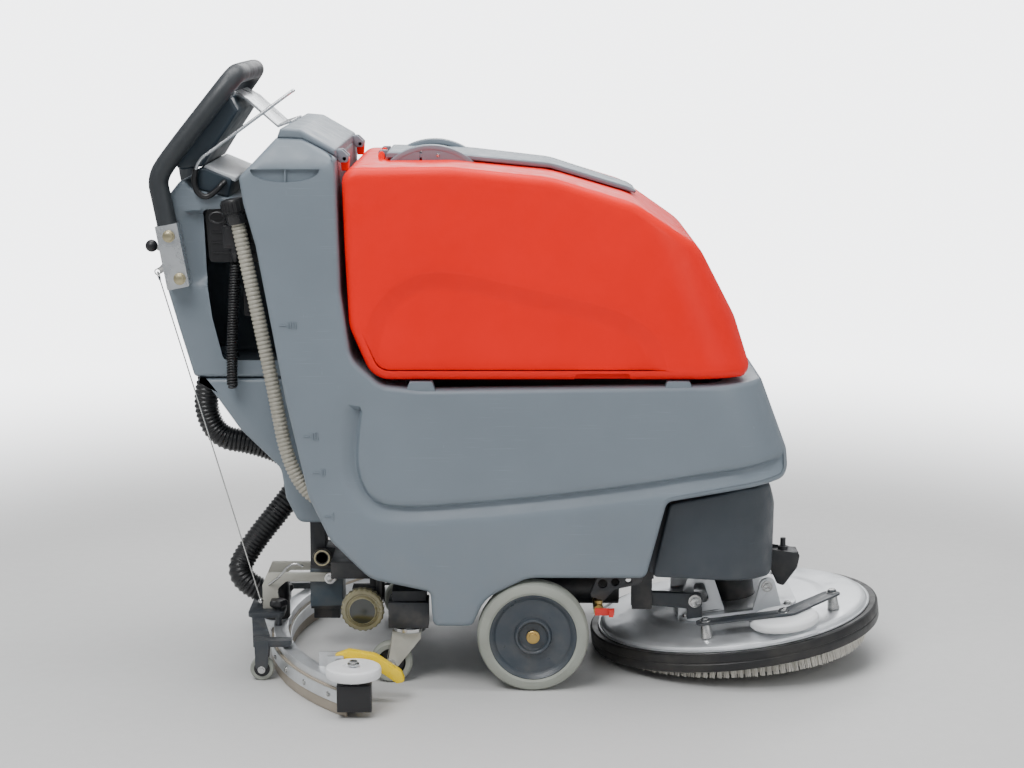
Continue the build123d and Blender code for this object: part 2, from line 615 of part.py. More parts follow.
with BuildPart() as lever_ball:
    with Locations((BALL[0], LEVER_Y, BALL[1])):
        Sphere(11)
    prism([(LEVER_X + 9, LEVER_Z + 6, 5), (LEVER_X - 6, LEVER_Z + 9, 5), (-640, 764, 2), (-643, 756, 2),
           (-618, 744, 6), (-620, 700)], LEVER_Y - 3, LEVER_Y + 3, Mode.SUBTRACT)
lever_ball.part.label = "lever_ball"
export_step(lever_ball.part, "parts/lever_ball.step")


# ---- upper tank ---------------------------------------------------------------------
LID_HALF = 98.0
MOUTH = [(-196, -60, 20), (150, -46, 20), (150, 46, 20), (-196, 60, 20)]
with BuildPart() as recovery_tank:
    add(moulded(TANK_SIDE, 0.0))
    # pressed side pockets
    prism(POCKET_SIDE, -BODY_HALF - 1, -BODY_HALF + PANEL_STEP, Mode.SUBTRACT)
    prism(POCKET_SIDE, BODY_HALF - PANEL_STEP, BODY_HALF + 1, Mode.SUBTRACT)
    add(moulded(TANK_SIDE, BODY_WALL), mode=Mode.SUBTRACT)
    plate(MOUTH, 820, 940, Mode.SUBTRACT)
    # finger grips in the lower edge
    for s in (-1, 1):
        block(84, 186, s * 250 - 12, s * 250 + 12, TANK_LOW - 2, TANK_LOW + 15, Mode.SUBTRACT)
        block(80, 190, s * 239 - 4, s * 239 + 4, TANK_LOW + 2, TANK_LOW + 24)
    # hinge lugs at the rear and the lugs of the lid hinge
    for y in HINGE_Y:
        block(TILT_X - 6, TILT_X + 6, y - 10, y + 10, 906, TILT_Z)
        rod((TILT_X, y - 10, TILT_Z), (0, 1, 0), 7.5, 20)
        rod((TILT_X, y - 11, TILT_Z), (0, 1, 0), TILT_PIN + RUN_CLEAR, 22, Mode.SUBTRACT)
    for y in (-50, 50):
        for t in (-1, 1):
            y0 = y + t * 13 - 4
            block(LID_X - 5, LID_X + 5, y0, y0 + 8, 908, LID_Z)
            rod((LID_X, y0, LID_Z), (0, 1, 0), 6, 8)
        rod((LID_X, y - 14, LID_Z), (0, 1, 0), LID_PIN, 28)
recovery_tank.part.label = "recovery_tank"
export_step(recovery_tank.part, "parts/recovery_tank.step")

EAR_X = -157.0
EAR_R = 117.0
EAR_TOP = 942.0
with BuildPart() as tank_lid:
    prism([(-239, 912.5), (-120, 912.0), (50, 894.0), (200, 848.4), (204, 853, 4), (190, 862, 10),
           (50, 906, 100), (-120, 924, 80), (-239, 926, 4)], -LID_HALF, LID_HALF)
    plate([(-239, -LID_HALF, 10), (-70, -LID_HALF, 40), (202, -62, 26), (202, 62, 26), (-70, LID_HALF, 40),
           (-239, LID_HALF, 10)], 800, 1000, Mode.INTERSECT)
    for s in (-1, 1):
        with BuildSketch(Plane.XZ.offset(-s * 84)) as ear:
            with Locations((EAR_X, EAR_TOP - EAR_R)):
                Circle(EAR_R)
            with Locations((EAR_X, 913 - 150)):
                Rectangle(400, 300, mode=Mode.SUBTRACT)
        extrude(ear.sketch, amount=14, both=True)
    for y in (-50, 50):
        rod((LID_X, y - 8, LID_Z), (0, 1, 0), 6, 16)
        block(LID_X, -238, y - 8, y + 8, 914, 924)
        rod((LID_X, y - 9, LID_Z), (0, 1, 0), LID_PIN + RUN_CLEAR, 18, Mode.SUBTRACT)
tank_lid.part.label = "tank_lid"
export_step(tank_lid.part, "parts/tank_lid.step")

# ---- brush deck, built on its own tilted planes -------------------------------------
DECK = Plane(origin=(DECK_X, 0, DECK_Z), x_dir=(cos(radians(DECK_TILT)), 0, sin(radians(DECK_TILT))),
             z_dir=(-sin(radians(DECK_TILT)), 0, cos(radians(DECK_TILT))))
BRUSH = Plane(origin=(DECK_X + 6, 0, BRUSH_TIP_Z),
              x_dir=(cos(radians(BRUSH_TILT)), 0, sin(radians(BRUSH_TILT))),
              z_dir=(-sin(radians(BRUSH_TILT)), 0, cos(radians(BRUSH_TILT))))


def on_deck(u, v, w):
    p = DECK.origin + DECK.x_dir * u + DECK.y_dir * v + DECK.z_dir * w
    return (p.X, p.Y, p.Z)


UP = (DECK.z_dir.X, DECK.z_dir.Y, DECK.z_dir.Z)
HUB_HOLE = 34.0
COVER_TOP = 15.0           # top of the raised middle of the cover
CAST_TOP = 24.0            # top of the casting's foot
CAST_HALF = 120.0
with BuildPart() as deck_cover:
    turned(DECK, [(HUB_HOLE, 11), (DECK_R - 97, 11), (DECK_R - 75, 6), (DECK_R - 22, 3), (DECK_R - 7, -1),
                  (DECK_R - 4, -7), (DECK_R, -7), (DECK_R, -3), (DECK_R - 4, 3), (DECK_R - 19, 7),
                  (DECK_R - 73, 10), (DECK_R - 95, 15), (HUB_HOLE, 15)])
deck_cover.part.label = "deck_cover"
export_step(deck_cover.part, "parts/deck_cover.step")

with BuildPart() as deck_ring:
    inner = RING_R - RING_WALL
    turned(DECK, [(DECK_R - 3, -7), (DECK_R + 4, -7), (inner + 2, -5), (RING_R - 4, -5), (RING_R, -9),
                  (RING_R, -34), (RING_R - 2, -38), (inner + 2, -38), (inner, -34), (inner, -10),
                  (DECK_R - 3, -11)])
deck_ring.part.label = "deck_ring"
export_step(deck_ring.part, "parts/deck_ring.step")

with BuildPart() as deck_arms:
    for s in (-1, 1):
        y0 = s * RAIL_Y - 7.5
        prism([(DECK_PIVOT_X - 14, DECK_PIVOT_Z - 8, 8), (322, 108, 8), (326, 138, 10),
               (DECK_PIVOT_X - 8, DECK_PIVOT_Z + 14, 10)], y0, y0 + 15)
        rod((DECK_PIVOT_X, s * RAIL_Y - 20, DECK_PIVOT_Z), (0, 1, 0), DECK_PIVOT_R + RUN_CLEAR, 40,
            Mode.SUBTRACT)
        rod((310, y0 if s > 0 else y0 - 4, 126), (0, 1, 0), 10, 19)
        prism([(297, 110), (297, 70), (324, 70), (324, 112)], y0, y0 + 15)
    turned(DECK, [(0, CAST_TOP), (300, CAST_TOP), (300, -60), (0, -60)], Mode.SUBTRACT)
deck_arms.part.label = "deck_arms"
export_step(deck_arms.part, "parts/deck_arms.step")

# cast gearbox foot with its ribs and front ears
with BuildPart() as deck_casting:
    with BuildSketch(Plane(origin=on_deck(0, 0, 0), x_dir=DECK.x_dir, z_dir=DECK.z_dir)):
        RectangleRounded(220, 2 * CAST_HALF, 40)
        Circle(44, mode=Mode.SUBTRACT)
    extrude(amount=CAST_TOP)
    for s in (-1, 1):
        # triangular ribs beside the motor
        y0 = s * 96 - 4
        prism([(283, 70), (366, 70), (366, 104), (341, 176, 4), (301, 168, 4), (283, 104)], y0, y0 + 8)
        prism([(312, 114, 8), (340, 116, 8), (328, 152, 8), (310, 150, 8)], y0 - 1, y0 + 9, Mode.SUBTRACT)
        # front ears
        y0 = s * 116 - 4
        prism([(416, 70), (466, 70), (466, 116), (452, 166, 14), (430, 164, 14), (416, 110)], y0, y0 + 8)
        rod((440, y0 - 1, 150), (0, 1, 0), 6, 10, Mode.SUBTRACT)
    turned(DECK, [(0, COVER_TOP), (300, COVER_TOP), (300, -80), (0, -80)], Mode.SUBTRACT)
deck_casting.part.label = "deck_casting"
export_step(deck_casting.part, "parts/deck_casting.step")

with BuildPart() as brush_motor:
    turned(DECK, [(0, -1), (DRIVE_R, -1), (DRIVE_R, COVER_TOP + 0.3), (43, COVER_TOP + 0.3), (43, 70), (40, 74),
                  (40, 96), (43, 100), (43, 180), (36, 192), (0, 192)])
brush_motor.part.label = "brush_motor"
export_step(brush_motor.part, "parts/brush_motor.step")

with BuildPart() as brush_plate:
    b = BRISTLE_L
    turned(BRUSH, [(0, b), (BRUSH_R - 9, b), (BRUSH_R - 9, b + 7), (BRUSH_R - 13, b + 9), (70, b + 9),
                   (28, b + 16), (20, b + 20), (0, b + 20)])
brush_plate.part.label = "brush_plate"
export_step(brush_plate.part, "parts/brush_plate.step")

with BuildPart() as bristles:
    turned(BRUSH, [(90, 0), (BRUSH_R, 0), (BRUSH_R - 10, BRISTLE_L), (96, BRISTLE_L)])
bristles.part.label = "bristles"
export_step(bristles.part, "parts/bristles.step")

ROLLER_OUT = 15.0          # how far the roller stands out past the cover
ROLLER_GAP = 20.0          # room between the roller and the casting
ROLLER_R = (DECK_R + ROLLER_OUT - CAST_HALF - ROLLER_GAP) / 2.0
ROLLER_AT = (74.0, ROLLER_R - DECK_R - ROLLER_OUT)
FRONT_BOLT = (172.0 + 0.825 * (DECK_R - 247.0), -118.0 - 0.566 * (DECK_R - 247.0))
ROLLER_LOW = 15.5
ROLLER_T = 18.0
ARM_W = ROLLER_LOW + ROLLER_T + 1.0
with BuildPart() as roller_arm:
    with BuildSketch(Plane(origin=on_deck(0, 0, ARM_W), x_dir=DECK.x_dir, z_dir=DECK.z_dir)):
        with BuildLine():
            a, b = FRONT_BOLT
            v = ROLLER_AT[1]
            draw([(-80, v - 13, 10), (-80, v + 15, 10), (72, v + 17, 20), (a - 10, b + 14, 10),
                  (a + 20, b - 4, 10), (92, v - 16, 20)])
        make_face()
    extrude(amount=4)
    for u, v, low in ((-64, ROLLER_AT[1] + 1, 9.5), (*FRONT_BOLT, 9.5)):
        rod(on_deck(u, v, low), UP, 7, ARM_W - low + 0.5)
        rod(on_deck(u, v, ARM_W + 4), UP, 8, 4)
    rod(on_deck(*ROLLER_AT, 11.5), UP, 6, ARM_W - 8)
    rod(on_deck(*ROLLER_AT, 11.5), UP, 10, 3)
    rod(on_deck(*ROLLER_AT, ARM_W + 4), UP, 9, 3)
roller_arm.part.label = "roller_arm"
export_step(roller_arm.part, "parts/roller_arm.step")

with BuildPart() as deck_roller:
    spot = Plane(origin=on_deck(*ROLLER_AT, ROLLER_LOW), x_dir=DECK.x_dir, z_dir=DECK.z_dir)
    b = 6 + RUN_CLEAR
    turned(spot, [(b, 0), (ROLLER_R - 5, 0), (ROLLER_R, 5), (ROLLER_R, ROLLER_T - 5), (ROLLER_R - 5, ROLLER_T),
                  (b, ROLLER_T)])
deck_roller.part.label = "deck_roller"
export_step(deck_roller.part, "parts/deck_roller.step")

# ---- squeegee -----------------------------------------------------------------------
END_X = -284.0             # end rollers
END_Y = 372.0
END_R = 47.0
END_LOW = 63.0
END_T = 19.0
END_PIN = 6.0
LATCH_X = -312.0
LATCH_Z = 74.0
LATCH_PIN = 4.0
ARM_IN = 36.0
ELBOW_X = -453.0
PLATE_Z = 86.0
with BuildPart() as squeegee_arm:
    for s in (-1, 1):
        y0 = s * (ARM_IN + 4) - 4
        prism([(-337, 138, 5), (-337, 154, 5), (-464, 154, 4), (-474, 130, 10), (-474, PLATE_Z, 2),
               (-440, PLATE_Z, 2), (-446, 124, 10), (-430, 138, 6)], y0, y0 + 8)
        rod((SQ_PIVOT_X, y0 - 1, SQ_PIVOT_Z), (0, 1, 0), SQ_PIVOT_R + RUN_CLEAR, 10, Mode.SUBTRACT)
    for s in (-1, 1):
        rod((-444, s * 52, 58), (0, 0, 1), 6, PLATE_Z - 60)
        rod((-444, s * 52, PLATE_Z), (0, 0, 1), 6, 8)
    # cover plate over the squeegee, with the hole for the suction elbow
    plate([(-498, -74, 12), (-498, 74, 12), (-432, 74, 12), (-432, -74, 12)], PLATE_Z - 8, PLATE_Z + 0.5)
    rod((ELBOW_X, 0, PLATE_Z - 10), (0, 0, 1), 28, 14, Mode.SUBTRACT)
    # rear roller brackets
    for s in (-1, 1):
        x, y = on_arc(600, s * 18.5)
        block(x - 14, x + 52, y - 12, y + 12, 62, 74)
        for t in (-1, 1):
            y1 = y + t * 11 - 2.5
            prism([(x - 12, 74), (x + 14, 74), (x + 11, 26, 8), (x, 12, 8), (x - 11, 26, 8)], y1, y1 + 5)
        rod((x, y - 10, 21), (0, 1, 0), 4, 20)
    # braces from the plate to the brackets
    for s in (-1, 1):
        plate([(-492, s * 60), (-470, s * 60), (-446, s * 178), (-476, s * 178)], 66, 78)
squeegee_arm.part.label = "squeegee_arm"
export_step(squeegee_arm.part, "parts/squeegee_arm.step")

with BuildPart() as squeegee_body:
    r0 = ARC_R - BLADE_GAP
    band(r0, ARC_R, ARC_HALF + 1, 22, 58)
    band(r0 + 6, ARC_R - 6, ARC_HALF - 2, 10, 52, Mode.SUBTRACT)
    # suction outlet and knob posts
    rod((ELBOW_X, 0, 46), (0, 0, 1), 27, 14)
    rod((ELBOW_X, 0, 8), (0, 0, 1), 21, 60, Mode.SUBTRACT)
    # clamping strips outside and inside the blades
    band(ARC_R + BLADE_T, ARC_R + BLADE_T + 2, ARC_HALF, 20, 42)
    band(r0 - BLADE_T - 2, r0 - BLADE_T, ARC_HALF, 20, 42)
    # end plates and pins that carry the end rollers
    for s in (-1, 1):
        rod((END_X, s * END_Y, 52), (0, 0, 1), 26, 6)
        rod((END_X, s * END_Y, 58), (0, 0, 1), END_PIN, END_LOW + END_T - 57)
        rod((END_X, s * END_Y, END_LOW + END_T + 1), (0, 0, 1), END_PIN + 4, 3)
        rod((END_X, s * END_Y, 58), (0, 0, 1), END_PIN + 5, END_LOW - 59)
    # cheeks and pin of the latch
    block(-348, -304, -301, -296, 50, 84)
    block(-332, -304, -326, -321, 50, 84)
    rod((LATCH_X, -326, LATCH_Z), (0, 1, 0), LATCH_PIN, 30)
squeegee_body.part.label = "squeegee_body"
export_step(squeegee_body.part, "parts/squeegee_body.step")

with BuildPart() as squeegee_blades:
    band(ARC_R, ARC_R + BLADE_T, ARC_HALF, BLADE_LOW, BLADE_LOW + BLADE_H)
    band(r0 - BLADE_T, r0, ARC_HALF - 1, BLADE_LOW, BLADE_LOW + BLADE_H)
squeegee_blades.part.label = "squeegee_blades"
export_step(squeegee_blades.part, "parts/squeegee_blades.step")

SUPPORT_R = 21.0
for name, s in (("right", -1), ("left", 1)):
    with BuildPart() as end_roller:
        spot = Plane(origin=(END_X, s * END_Y, END_LOW))
        b = END_PIN + RUN_CLEAR
        turned(spot, [(b, 0), (END_R - 4, 0), (END_R, 4), (END_R, END_T - 5), (END_R - 5, END_T), (b, END_T)])
    end_roller.part.label = "end_roller_" + name
    export_step(end_roller.part, "parts/end_roller_" + name + ".step")

    with BuildPart() as support_roller:
        x, y = on_arc(600, s * 18.5)
        spot = Plane(origin=(x, y, SUPPORT_R), x_dir=(1, 0, 0), z_dir=(0, 1, 0))
        b = 4 + RUN_CLEAR
        turned(spot, [(b, -8), (SUPPORT_R - 2, -8), (SUPPORT_R, -6), (SUPPORT_R, 6), (SUPPORT_R - 2, 8), (b, 8)])
    support_roller.part.label = "support_roller_" + name
    export_step(support_roller.part, "parts/support_roller_" + name + ".step")

with BuildPart() as squeegee_latch:
    prism([(LATCH_X - 8, LATCH_Z - 6, 6), (LATCH_X - 8, LATCH_Z + 9, 6), (-296, 92, 8), (-250, 84, 30),
           (-206, 54, 14), (-199, 36, 8), (-214, 33, 6), (-240, 52, 20), (-290, 64, 10)], -320, -302)
    rod((LATCH_X, -330, LATCH_Z), (0, 1, 0), LATCH_PIN + RUN_CLEAR, 40, Mode.SUBTRACT)
squeegee_latch.part.label = "squeegee_latch"
export_step(squeegee_latch.part, "parts/squeegee_latch.step")

BRANCH_FROM = (ELBOW_X, 0.0, 95.5)
BRANCH_DIR = (-0.894, 0.0, 0.447)
BRANCH_L = 37.0
BRANCH_END = tuple(p + (BRANCH_L + 0.2) * d for p, d in zip(BRANCH_FROM, BRANCH_DIR))
with BuildPart() as suction_elbow:
    rod((ELBOW_X, 0, 60), (0, 0, 1), 25, 54)
    with Locations((ELBOW_X, 0, 114)):
        Sphere(25)
    rod(BRANCH_FROM, BRANCH_DIR, 20, BRANCH_L)
suction_elbow.part.label = "suction_elbow"
export_step(suction_elbow.part, "parts/suction_elbow.step")

# wire rope from the lever to the squeegee, with a link at each end
SHACKLE = (-474.0, -66.0, 108.0)
TIE = (EYE[0] + 2.6, LEVER_Y, EYE[1] - 9.6)
with BuildPart() as lift_cable:
    run = Vector(*TIE) - Vector(*SHACKLE)
    rod(SHACKLE, tuple(run.normalized()), 1.2, run.length + 2)
    along = Plane(origin=(EYE[0] + 2.0, LEVER_Y, EYE[1] - 7.4), x_dir=(0, 1, 0), z_dir=(0.965, 0, 0.262))
    with Locations(along):
        Torus(7.4, 1.2)
    with Locations(SHACKLE):
        Sphere(5)
    rod((SHACKLE[0], SHACKLE[1] - 8, SHACKLE[2]), (0, 1, 0), 2.5, 16)
lift_cable.part.label = "lift_cable"
export_step(lift_cable.part, "parts/lift_cable.step")

# ---- hoses and cord -----------------------------------------------------------------
LOW_BEND = tuple(p + 52 * d for p, d in zip(BRANCH_END, BRANCH_DIR))
with BuildPart() as suction_hose:
    tube([(-541, 65, 552), (-592, 65, 455), (-545, 65, 390), (-478, 65, 374), (-420, 62, 296),
          (-500, 30, 222), LOW_BEND, BRANCH_END], HOSE_R, HOSE_R - 4)
    block(-700, -400, 0, 130, NECK_SPLIT, 620, Mode.SUBTRACT)
suction_hose.part.label = "suction_hose"
export_step(suction_hose.part, "parts/suction_hose.step")

with BuildPart() as drain_hose:
    tube([(-488, -205, 836), (-434, -205, 566), (-399, -205, 352), (-340, -205, 322)], DRAIN_R, DRAIN_R - 3)
    add(lower_outer, mode=Mode.SUBTRACT)
drain_hose.part.label = "drain_hose"
export_step(drain_hose.part, "parts/drain_hose.step")

with BuildPart() as drain_cap:
    rod((-488, -205, 836), (-54, 0, 270), 19, 30)
    block(-512, -476, -192, -NECK_HALF, 840, 848)
drain_cap.part.label = "drain_cap"
export_step(drain_cap.part, "parts/drain_cap.step")

CORD_Y = -176.5
with BuildPart() as coil_cord:
    tube([(-492, CORD_Y, 742), (-500, CORD_Y, 640), (-503, CORD_Y, 524), (-503, -NECK_HALF, 524)], COIL_R)
coil_cord.part.label = "coil_cord"
export_step(coil_cord.part, "parts/coil_cord.step")

with BuildPart() as cord_plug:
    rod((-492, CORD_Y, 742.4), (0.08, 0, 1), 12, 26)
    block(-512, -484, -188, -NECK_HALF, 766, 806)
    add(lower_outer, mode=Mode.SUBTRACT)
cord_plug.part.label = "cord_plug"
export_step(cord_plug.part, "parts/cord_plug.step")

with BuildPart() as cord_hanger:
    tube([(-392, -128, 1032), (-392, -158, 1032), (-527, -158, 934), (-560, -158, 912), (-566, -158, 868),
          (-545, -158, 848), (-520, -158, 868), (-512, -158, 876), (-512, -148, 876)], 3)
cord_hanger.part.label = "cord_hanger"
export_step(cord_hanger.part, "parts/cord_hanger.step")

# ---- water filter and drain valve ---------------------------------------------------
FILTER = (-279.0, 131.0)
SPIGOT_R = 12.0
with BuildPart() as filter_head:
    rod((FILTER[0], -166, FILTER[1]), (0, -1, 0), 31, 24)
    rod((FILTER[0], -190, FILTER[1]), (0, -1, 0), SPIGOT_R, 14)
    rod((FILTER[0] + 30, -178, FILTER[1] + 8), (0, 0, 1), 8, 40)
    block(FILTER[0] + 10, FILTER[0] + 36, -186, -170, FILTER[1] + 2, FILTER[1] + 18)
filter_head.part.label = "filter_head"
export_step(filter_head.part, "parts/filter_head.step")

with BuildPart() as filter_cap:
    spot = Plane(origin=(FILTER[0], -191, FILTER[1]), x_dir=(1, 0, 0), z_dir=(0, -1, 0))
    b = SPIGOT_R + RUN_CLEAR
    turned(spot, [(b, 0), (36, 0), (39, 3), (39, 16), (36, 19), (29, 19), (25, 24), (0, 24), (0, 16), (b, 16)])
filter_cap.part.label = "filter_cap"
export_step(filter_cap.part, "parts/filter_cap.step")

with BuildPart() as drain_valve:
    x, z = BRACKET_X + 16, GEAR_TOP - 60
    rod((x, -232, z), (0, 1, 0), 9, 62)
    rod((x, -217, z), (0, 0, 1), 7, 14.5)
    rod((x, -238, z), (0, 1, 0), 5, 8)
    block(x - 6, x + 26, -240, -236, z - 5, z + 5)
    block(x + 18, x + 24, -252, -236, z - 5, z + 5)
drain_valve.part.label = "drain_valve"
export_step(drain_valve.part, "parts/drain_valve.step")
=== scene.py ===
import json
import random
from math import acos, atan2, cos, hypot, pi, radians, sin, sqrt, tan

import bmesh
import bpy
import numpy as np
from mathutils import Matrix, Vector
from mathutils.geometry import delaunay_2d_cdt


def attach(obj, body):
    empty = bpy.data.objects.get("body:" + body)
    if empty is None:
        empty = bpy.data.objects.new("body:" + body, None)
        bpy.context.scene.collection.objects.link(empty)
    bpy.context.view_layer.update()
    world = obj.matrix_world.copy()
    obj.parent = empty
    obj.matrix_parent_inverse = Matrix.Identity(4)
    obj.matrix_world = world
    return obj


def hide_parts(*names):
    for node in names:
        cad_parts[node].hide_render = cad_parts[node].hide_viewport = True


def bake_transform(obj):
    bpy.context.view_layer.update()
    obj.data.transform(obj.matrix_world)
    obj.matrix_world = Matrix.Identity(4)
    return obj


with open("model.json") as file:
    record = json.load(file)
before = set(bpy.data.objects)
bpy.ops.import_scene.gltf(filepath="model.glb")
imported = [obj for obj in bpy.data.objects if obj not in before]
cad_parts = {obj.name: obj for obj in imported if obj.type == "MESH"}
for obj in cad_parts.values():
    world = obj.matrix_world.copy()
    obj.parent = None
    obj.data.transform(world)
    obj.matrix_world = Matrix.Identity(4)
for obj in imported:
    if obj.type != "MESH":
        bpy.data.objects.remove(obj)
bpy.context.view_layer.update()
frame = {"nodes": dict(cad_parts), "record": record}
NODES = frame["nodes"]
SLOT_OF = {s["node"]: s["material_slot"] for s in frame["record"]["subparts"]}
BODY_OF = {n: b for b, ns in frame["record"]["behaviour"]["bodies"].items() for n in ns}
MM = 0.001
CLEAR_FROM, WHITE_FROM = 1.25, 3.4      # metres from the object where the backdrop starts and is full
BACKDROP_GLOW = 4.6
WORLD_LIGHT = 0.50
rng = random.Random(7)

# ---- camera -------------------------------------------------------------------------
cam = bpy.data.objects.new("camera", bpy.data.cameras.new("camera"))
bpy.context.scene.collection.objects.link(cam)
cam.location = (-0.017, -3.85, 1.187)
cam.rotation_euler = (radians(79.84), 0.0, 0.0)
cam.data.lens = 75.6
cam.data.sensor_width = 36.0
bpy.context.scene.camera = cam


# ---- materials ----------------------------------------------------------------------
def node(tree, kind, sockets, **props):
    n = tree.nodes.new(kind)
    for k, v in props.items():
        setattr(n, k, v)
    for k, v in sockets.items():
        if isinstance(v, bpy.types.NodeSocket):
            tree.links.new(v, n.inputs[k])
        else:
            n.inputs[k].default_value = v
    return n


def rgb(c, k=1.0):
    return (min(1.0, c[0] * k), min(1.0, c[1] * k), min(1.0, c[2] * k), 1.0)


def noise(t, where, scale, detail=3.0, stretch=None):
    if stretch:
        where = node(t, "ShaderNodeMapping", {"Vector": where, "Scale": stretch}).outputs[0]
    sockets = {"Vector": where, "Scale": scale, "Detail": detail}
    return node(t, "ShaderNodeTexNoise", sockets).outputs[0]


def span(t, value, a, b, lo=0.0, hi=1.0):
    sockets = {"Value": value, "From Min": a, "From Max": b, "To Min": lo, "To Max": hi}
    return node(t, "ShaderNodeMapRange", sockets, clamp=True).outputs[0]


def mix(t, factor, a, b, kind="MIX"):
    n = node(t, "ShaderNodeMix", {0: factor}, data_type="RGBA", blend_type=kind)
    for k, v in ((6, a), (7, b)):
        if isinstance(v, bpy.types.NodeSocket):
            t.links.new(v, n.inputs[k])
        else:
            n.inputs[k].default_value = v
    return n.outputs[2]


def times(t, a, b):
    return node(t, "ShaderNodeMath", {0: a, 1: b}, operation="MULTIPLY").outputs[0]


def surface(name, color, rough=0.5, metal=0.0, vary=0.07, scale=6.0, rough_vary=0.1, grain=0.25,
            grain_scale=900.0, stretch=None, scratch=0.0, scratch_tone=1.7, dirt=0.0, dirt_top=0.25,
            dirt_color=(0.23, 0.20, 0.16), cells=0.0, cell_scale=60.0, coat=0.0, spec=0.5, wide=None,
            clear=0.0):
    """Procedural finish: broad tone, fine grain, scratches along the travel, floor dirt, cells."""
    m = bpy.data.materials.new(name)
    m.use_nodes = True
    t = m.node_tree
    bsdf = t.nodes["Principled BSDF"]
    where = node(t, "ShaderNodeTexCoord", {}).outputs["Object"]
    broad = span(t, noise(t, where, scale, 4.0, wide), 0.3, 0.7)
    tone = mix(t, broad, rgb(color, 1 - vary), rgb(color, 1 + vary))
    if cells:
        v = node(t, "ShaderNodeTexVoronoi", {"Vector": where, "Scale": cell_scale})
        spangle = span(t, v.outputs["Distance"], 0.0, 0.7)
        tone = mix(t, times(t, spangle, cells), tone, rgb(color, 0.62))
    if scratch:
        fine = noise(t, where, 1.0, 2.0, (9.0, 9.0, 1500.0))
        patch = noise(t, where, 9.0, 2.0)
        lines = times(t, span(t, fine, 0.69, 0.72), span(t, patch, 0.52, 0.62))
        slant = noise(t, where, 1.0, 2.0, (420.0, 420.0, 40.0))
        lines2 = times(t, span(t, slant, 0.74, 0.77), span(t, patch, 0.56, 0.64))
        both = node(t, "ShaderNodeMath", {0: lines, 1: lines2}, operation="MAXIMUM").outputs[0]
        tone = mix(t, times(t, both, scratch), tone, rgb(color, scratch_tone))
    if dirt:
        z = node(t, "ShaderNodeSeparateXYZ", {"Vector": where}).outputs[2]
        low = span(t, z, 0.0, dirt_top, 1.0, 0.0)
        blot = span(t, noise(t, where, 24.0, 6.0), 0.4, 0.7)
        tone = mix(t, times(t, times(t, low, blot), dirt), tone, rgb(dirt_color))
    t.links.new(tone, bsdf.inputs["Base Color"])
    r = span(t, noise(t, where, 38.0, 5.0), 0.3, 0.7, max(0.02, rough - rough_vary),
             min(1.0, rough + rough_vary))
    t.links.new(r, bsdf.inputs["Roughness"])
    bump = node(t, "ShaderNodeBump", {"Strength": grain, "Distance": 0.0006,
                                      "Height": noise(t, where, grain_scale, 4.0, stretch)})
    t.links.new(bump.outputs[0], bsdf.inputs["Normal"])
    bsdf.inputs["Metallic"].default_value = metal
    bsdf.inputs["Specular IOR Level"].default_value = spec
    bsdf.inputs["Coat Weight"].default_value = coat
    bsdf.inputs["Coat Roughness"].default_value = 0.12
    bsdf.inputs["Transmission Weight"].default_value = clear
    return m


GREY = surface("body_grey_mat", (0.172, 0.207, 0.240), 0.40, scratch=0.55, dirt=0.22, dirt_top=0.35,
               vary=0.05, grain=0.2, grain_scale=1400)
RED = surface("tank_red_mat", (0.93, 0.004, 0.0), 0.40, scratch=0.12, scratch_tone=1.6, vary=0.04,
              grain=0.12, grain_scale=1300, spec=0.22)
CHARCOAL = surface("skirt_mat", (0.040, 0.050, 0.062), 0.45, scratch=0.3, scratch_tone=2.4, dirt=0.3)
CONSOLE = surface("console_mat", (0.022, 0.036, 0.050), 0.40, vary=0.1, scratch=0.15, scratch_tone=2.5)
BLACK = surface("plastic_black_mat", (0.012, 0.012, 0.014), 0.38, vary=0.15, grain=0.2)
FRAME = surface("frame_paint_mat", (0.018, 0.020, 0.024), 0.42, dirt=0.5, dirt_top=0.25, vary=0.2)
BLUE_STEEL = surface("pivot_paint_mat", (0.062, 0.085, 0.105), 0.4, dirt=0.35, dirt_top=0.3)
ARM = surface("arm_paint_mat", (0.036, 0.043, 0.052), 0.38, scratch=0.4, scratch_tone=4.0, dirt=0.2)
CREAM = surface("cream_paint_mat", (0.50, 0.49, 0.43), 0.42, dirt=0.45, dirt_top=0.30, vary=0.08)
CAST = surface("cast_mat", (0.72, 0.74, 0.76), 0.40, 0.8, grain=0.8, grain_scale=500, dirt=0.3,
               dirt_color=(0.30, 0.28, 0.25))
ZINC = surface("deck_zinc_mat", (0.84, 0.86, 0.88), 0.40, 0.72, vary=0.05, cells=0.12, cell_scale=26,
               grain=0.14, grain_scale=240, scratch=0.25, scratch_tone=0.6, dirt=0.12, dirt_top=0.16,
               dirt_color=(0.50, 0.46, 0.41))
PLATE = surface("plate_mat", (0.66, 0.68, 0.70), 0.3, 0.9, stretch=(1, 1, 0.04), grain=0.25, scratch=0.3,
                scratch_tone=0.6)
STEEL = surface("steel_mat", (0.58, 0.58, 0.57), 0.26, 1.0, grain=0.15)
BRASS = surface("brass_mat", (0.52, 0.36, 0.13), 0.34, 1.0, vary=0.15, grain=0.4)
YELLOW_ZINC = surface("zinc_yellow_mat", (0.45, 0.40, 0.26), 0.38, 0.95, vary=0.2, grain=0.5, grain_scale=300)
GRIP = surface("grip_mat", (0.026, 0.030, 0.034), 0.46, vary=0.1, grain=0.5, grain_scale=650)
TYRE = surface("tyre_mat", (0.31, 0.325, 0.285), 0.62, vary=0.09, scale=14, grain=0.5, grain_scale=420,
               dirt=0.35, dirt_top=0.22, dirt_color=(0.16, 0.15, 0.12))
HUB = surface("hub_mat", (0.040, 0.052, 0.066), 0.36, dirt=0.25, dirt_top=0.25)
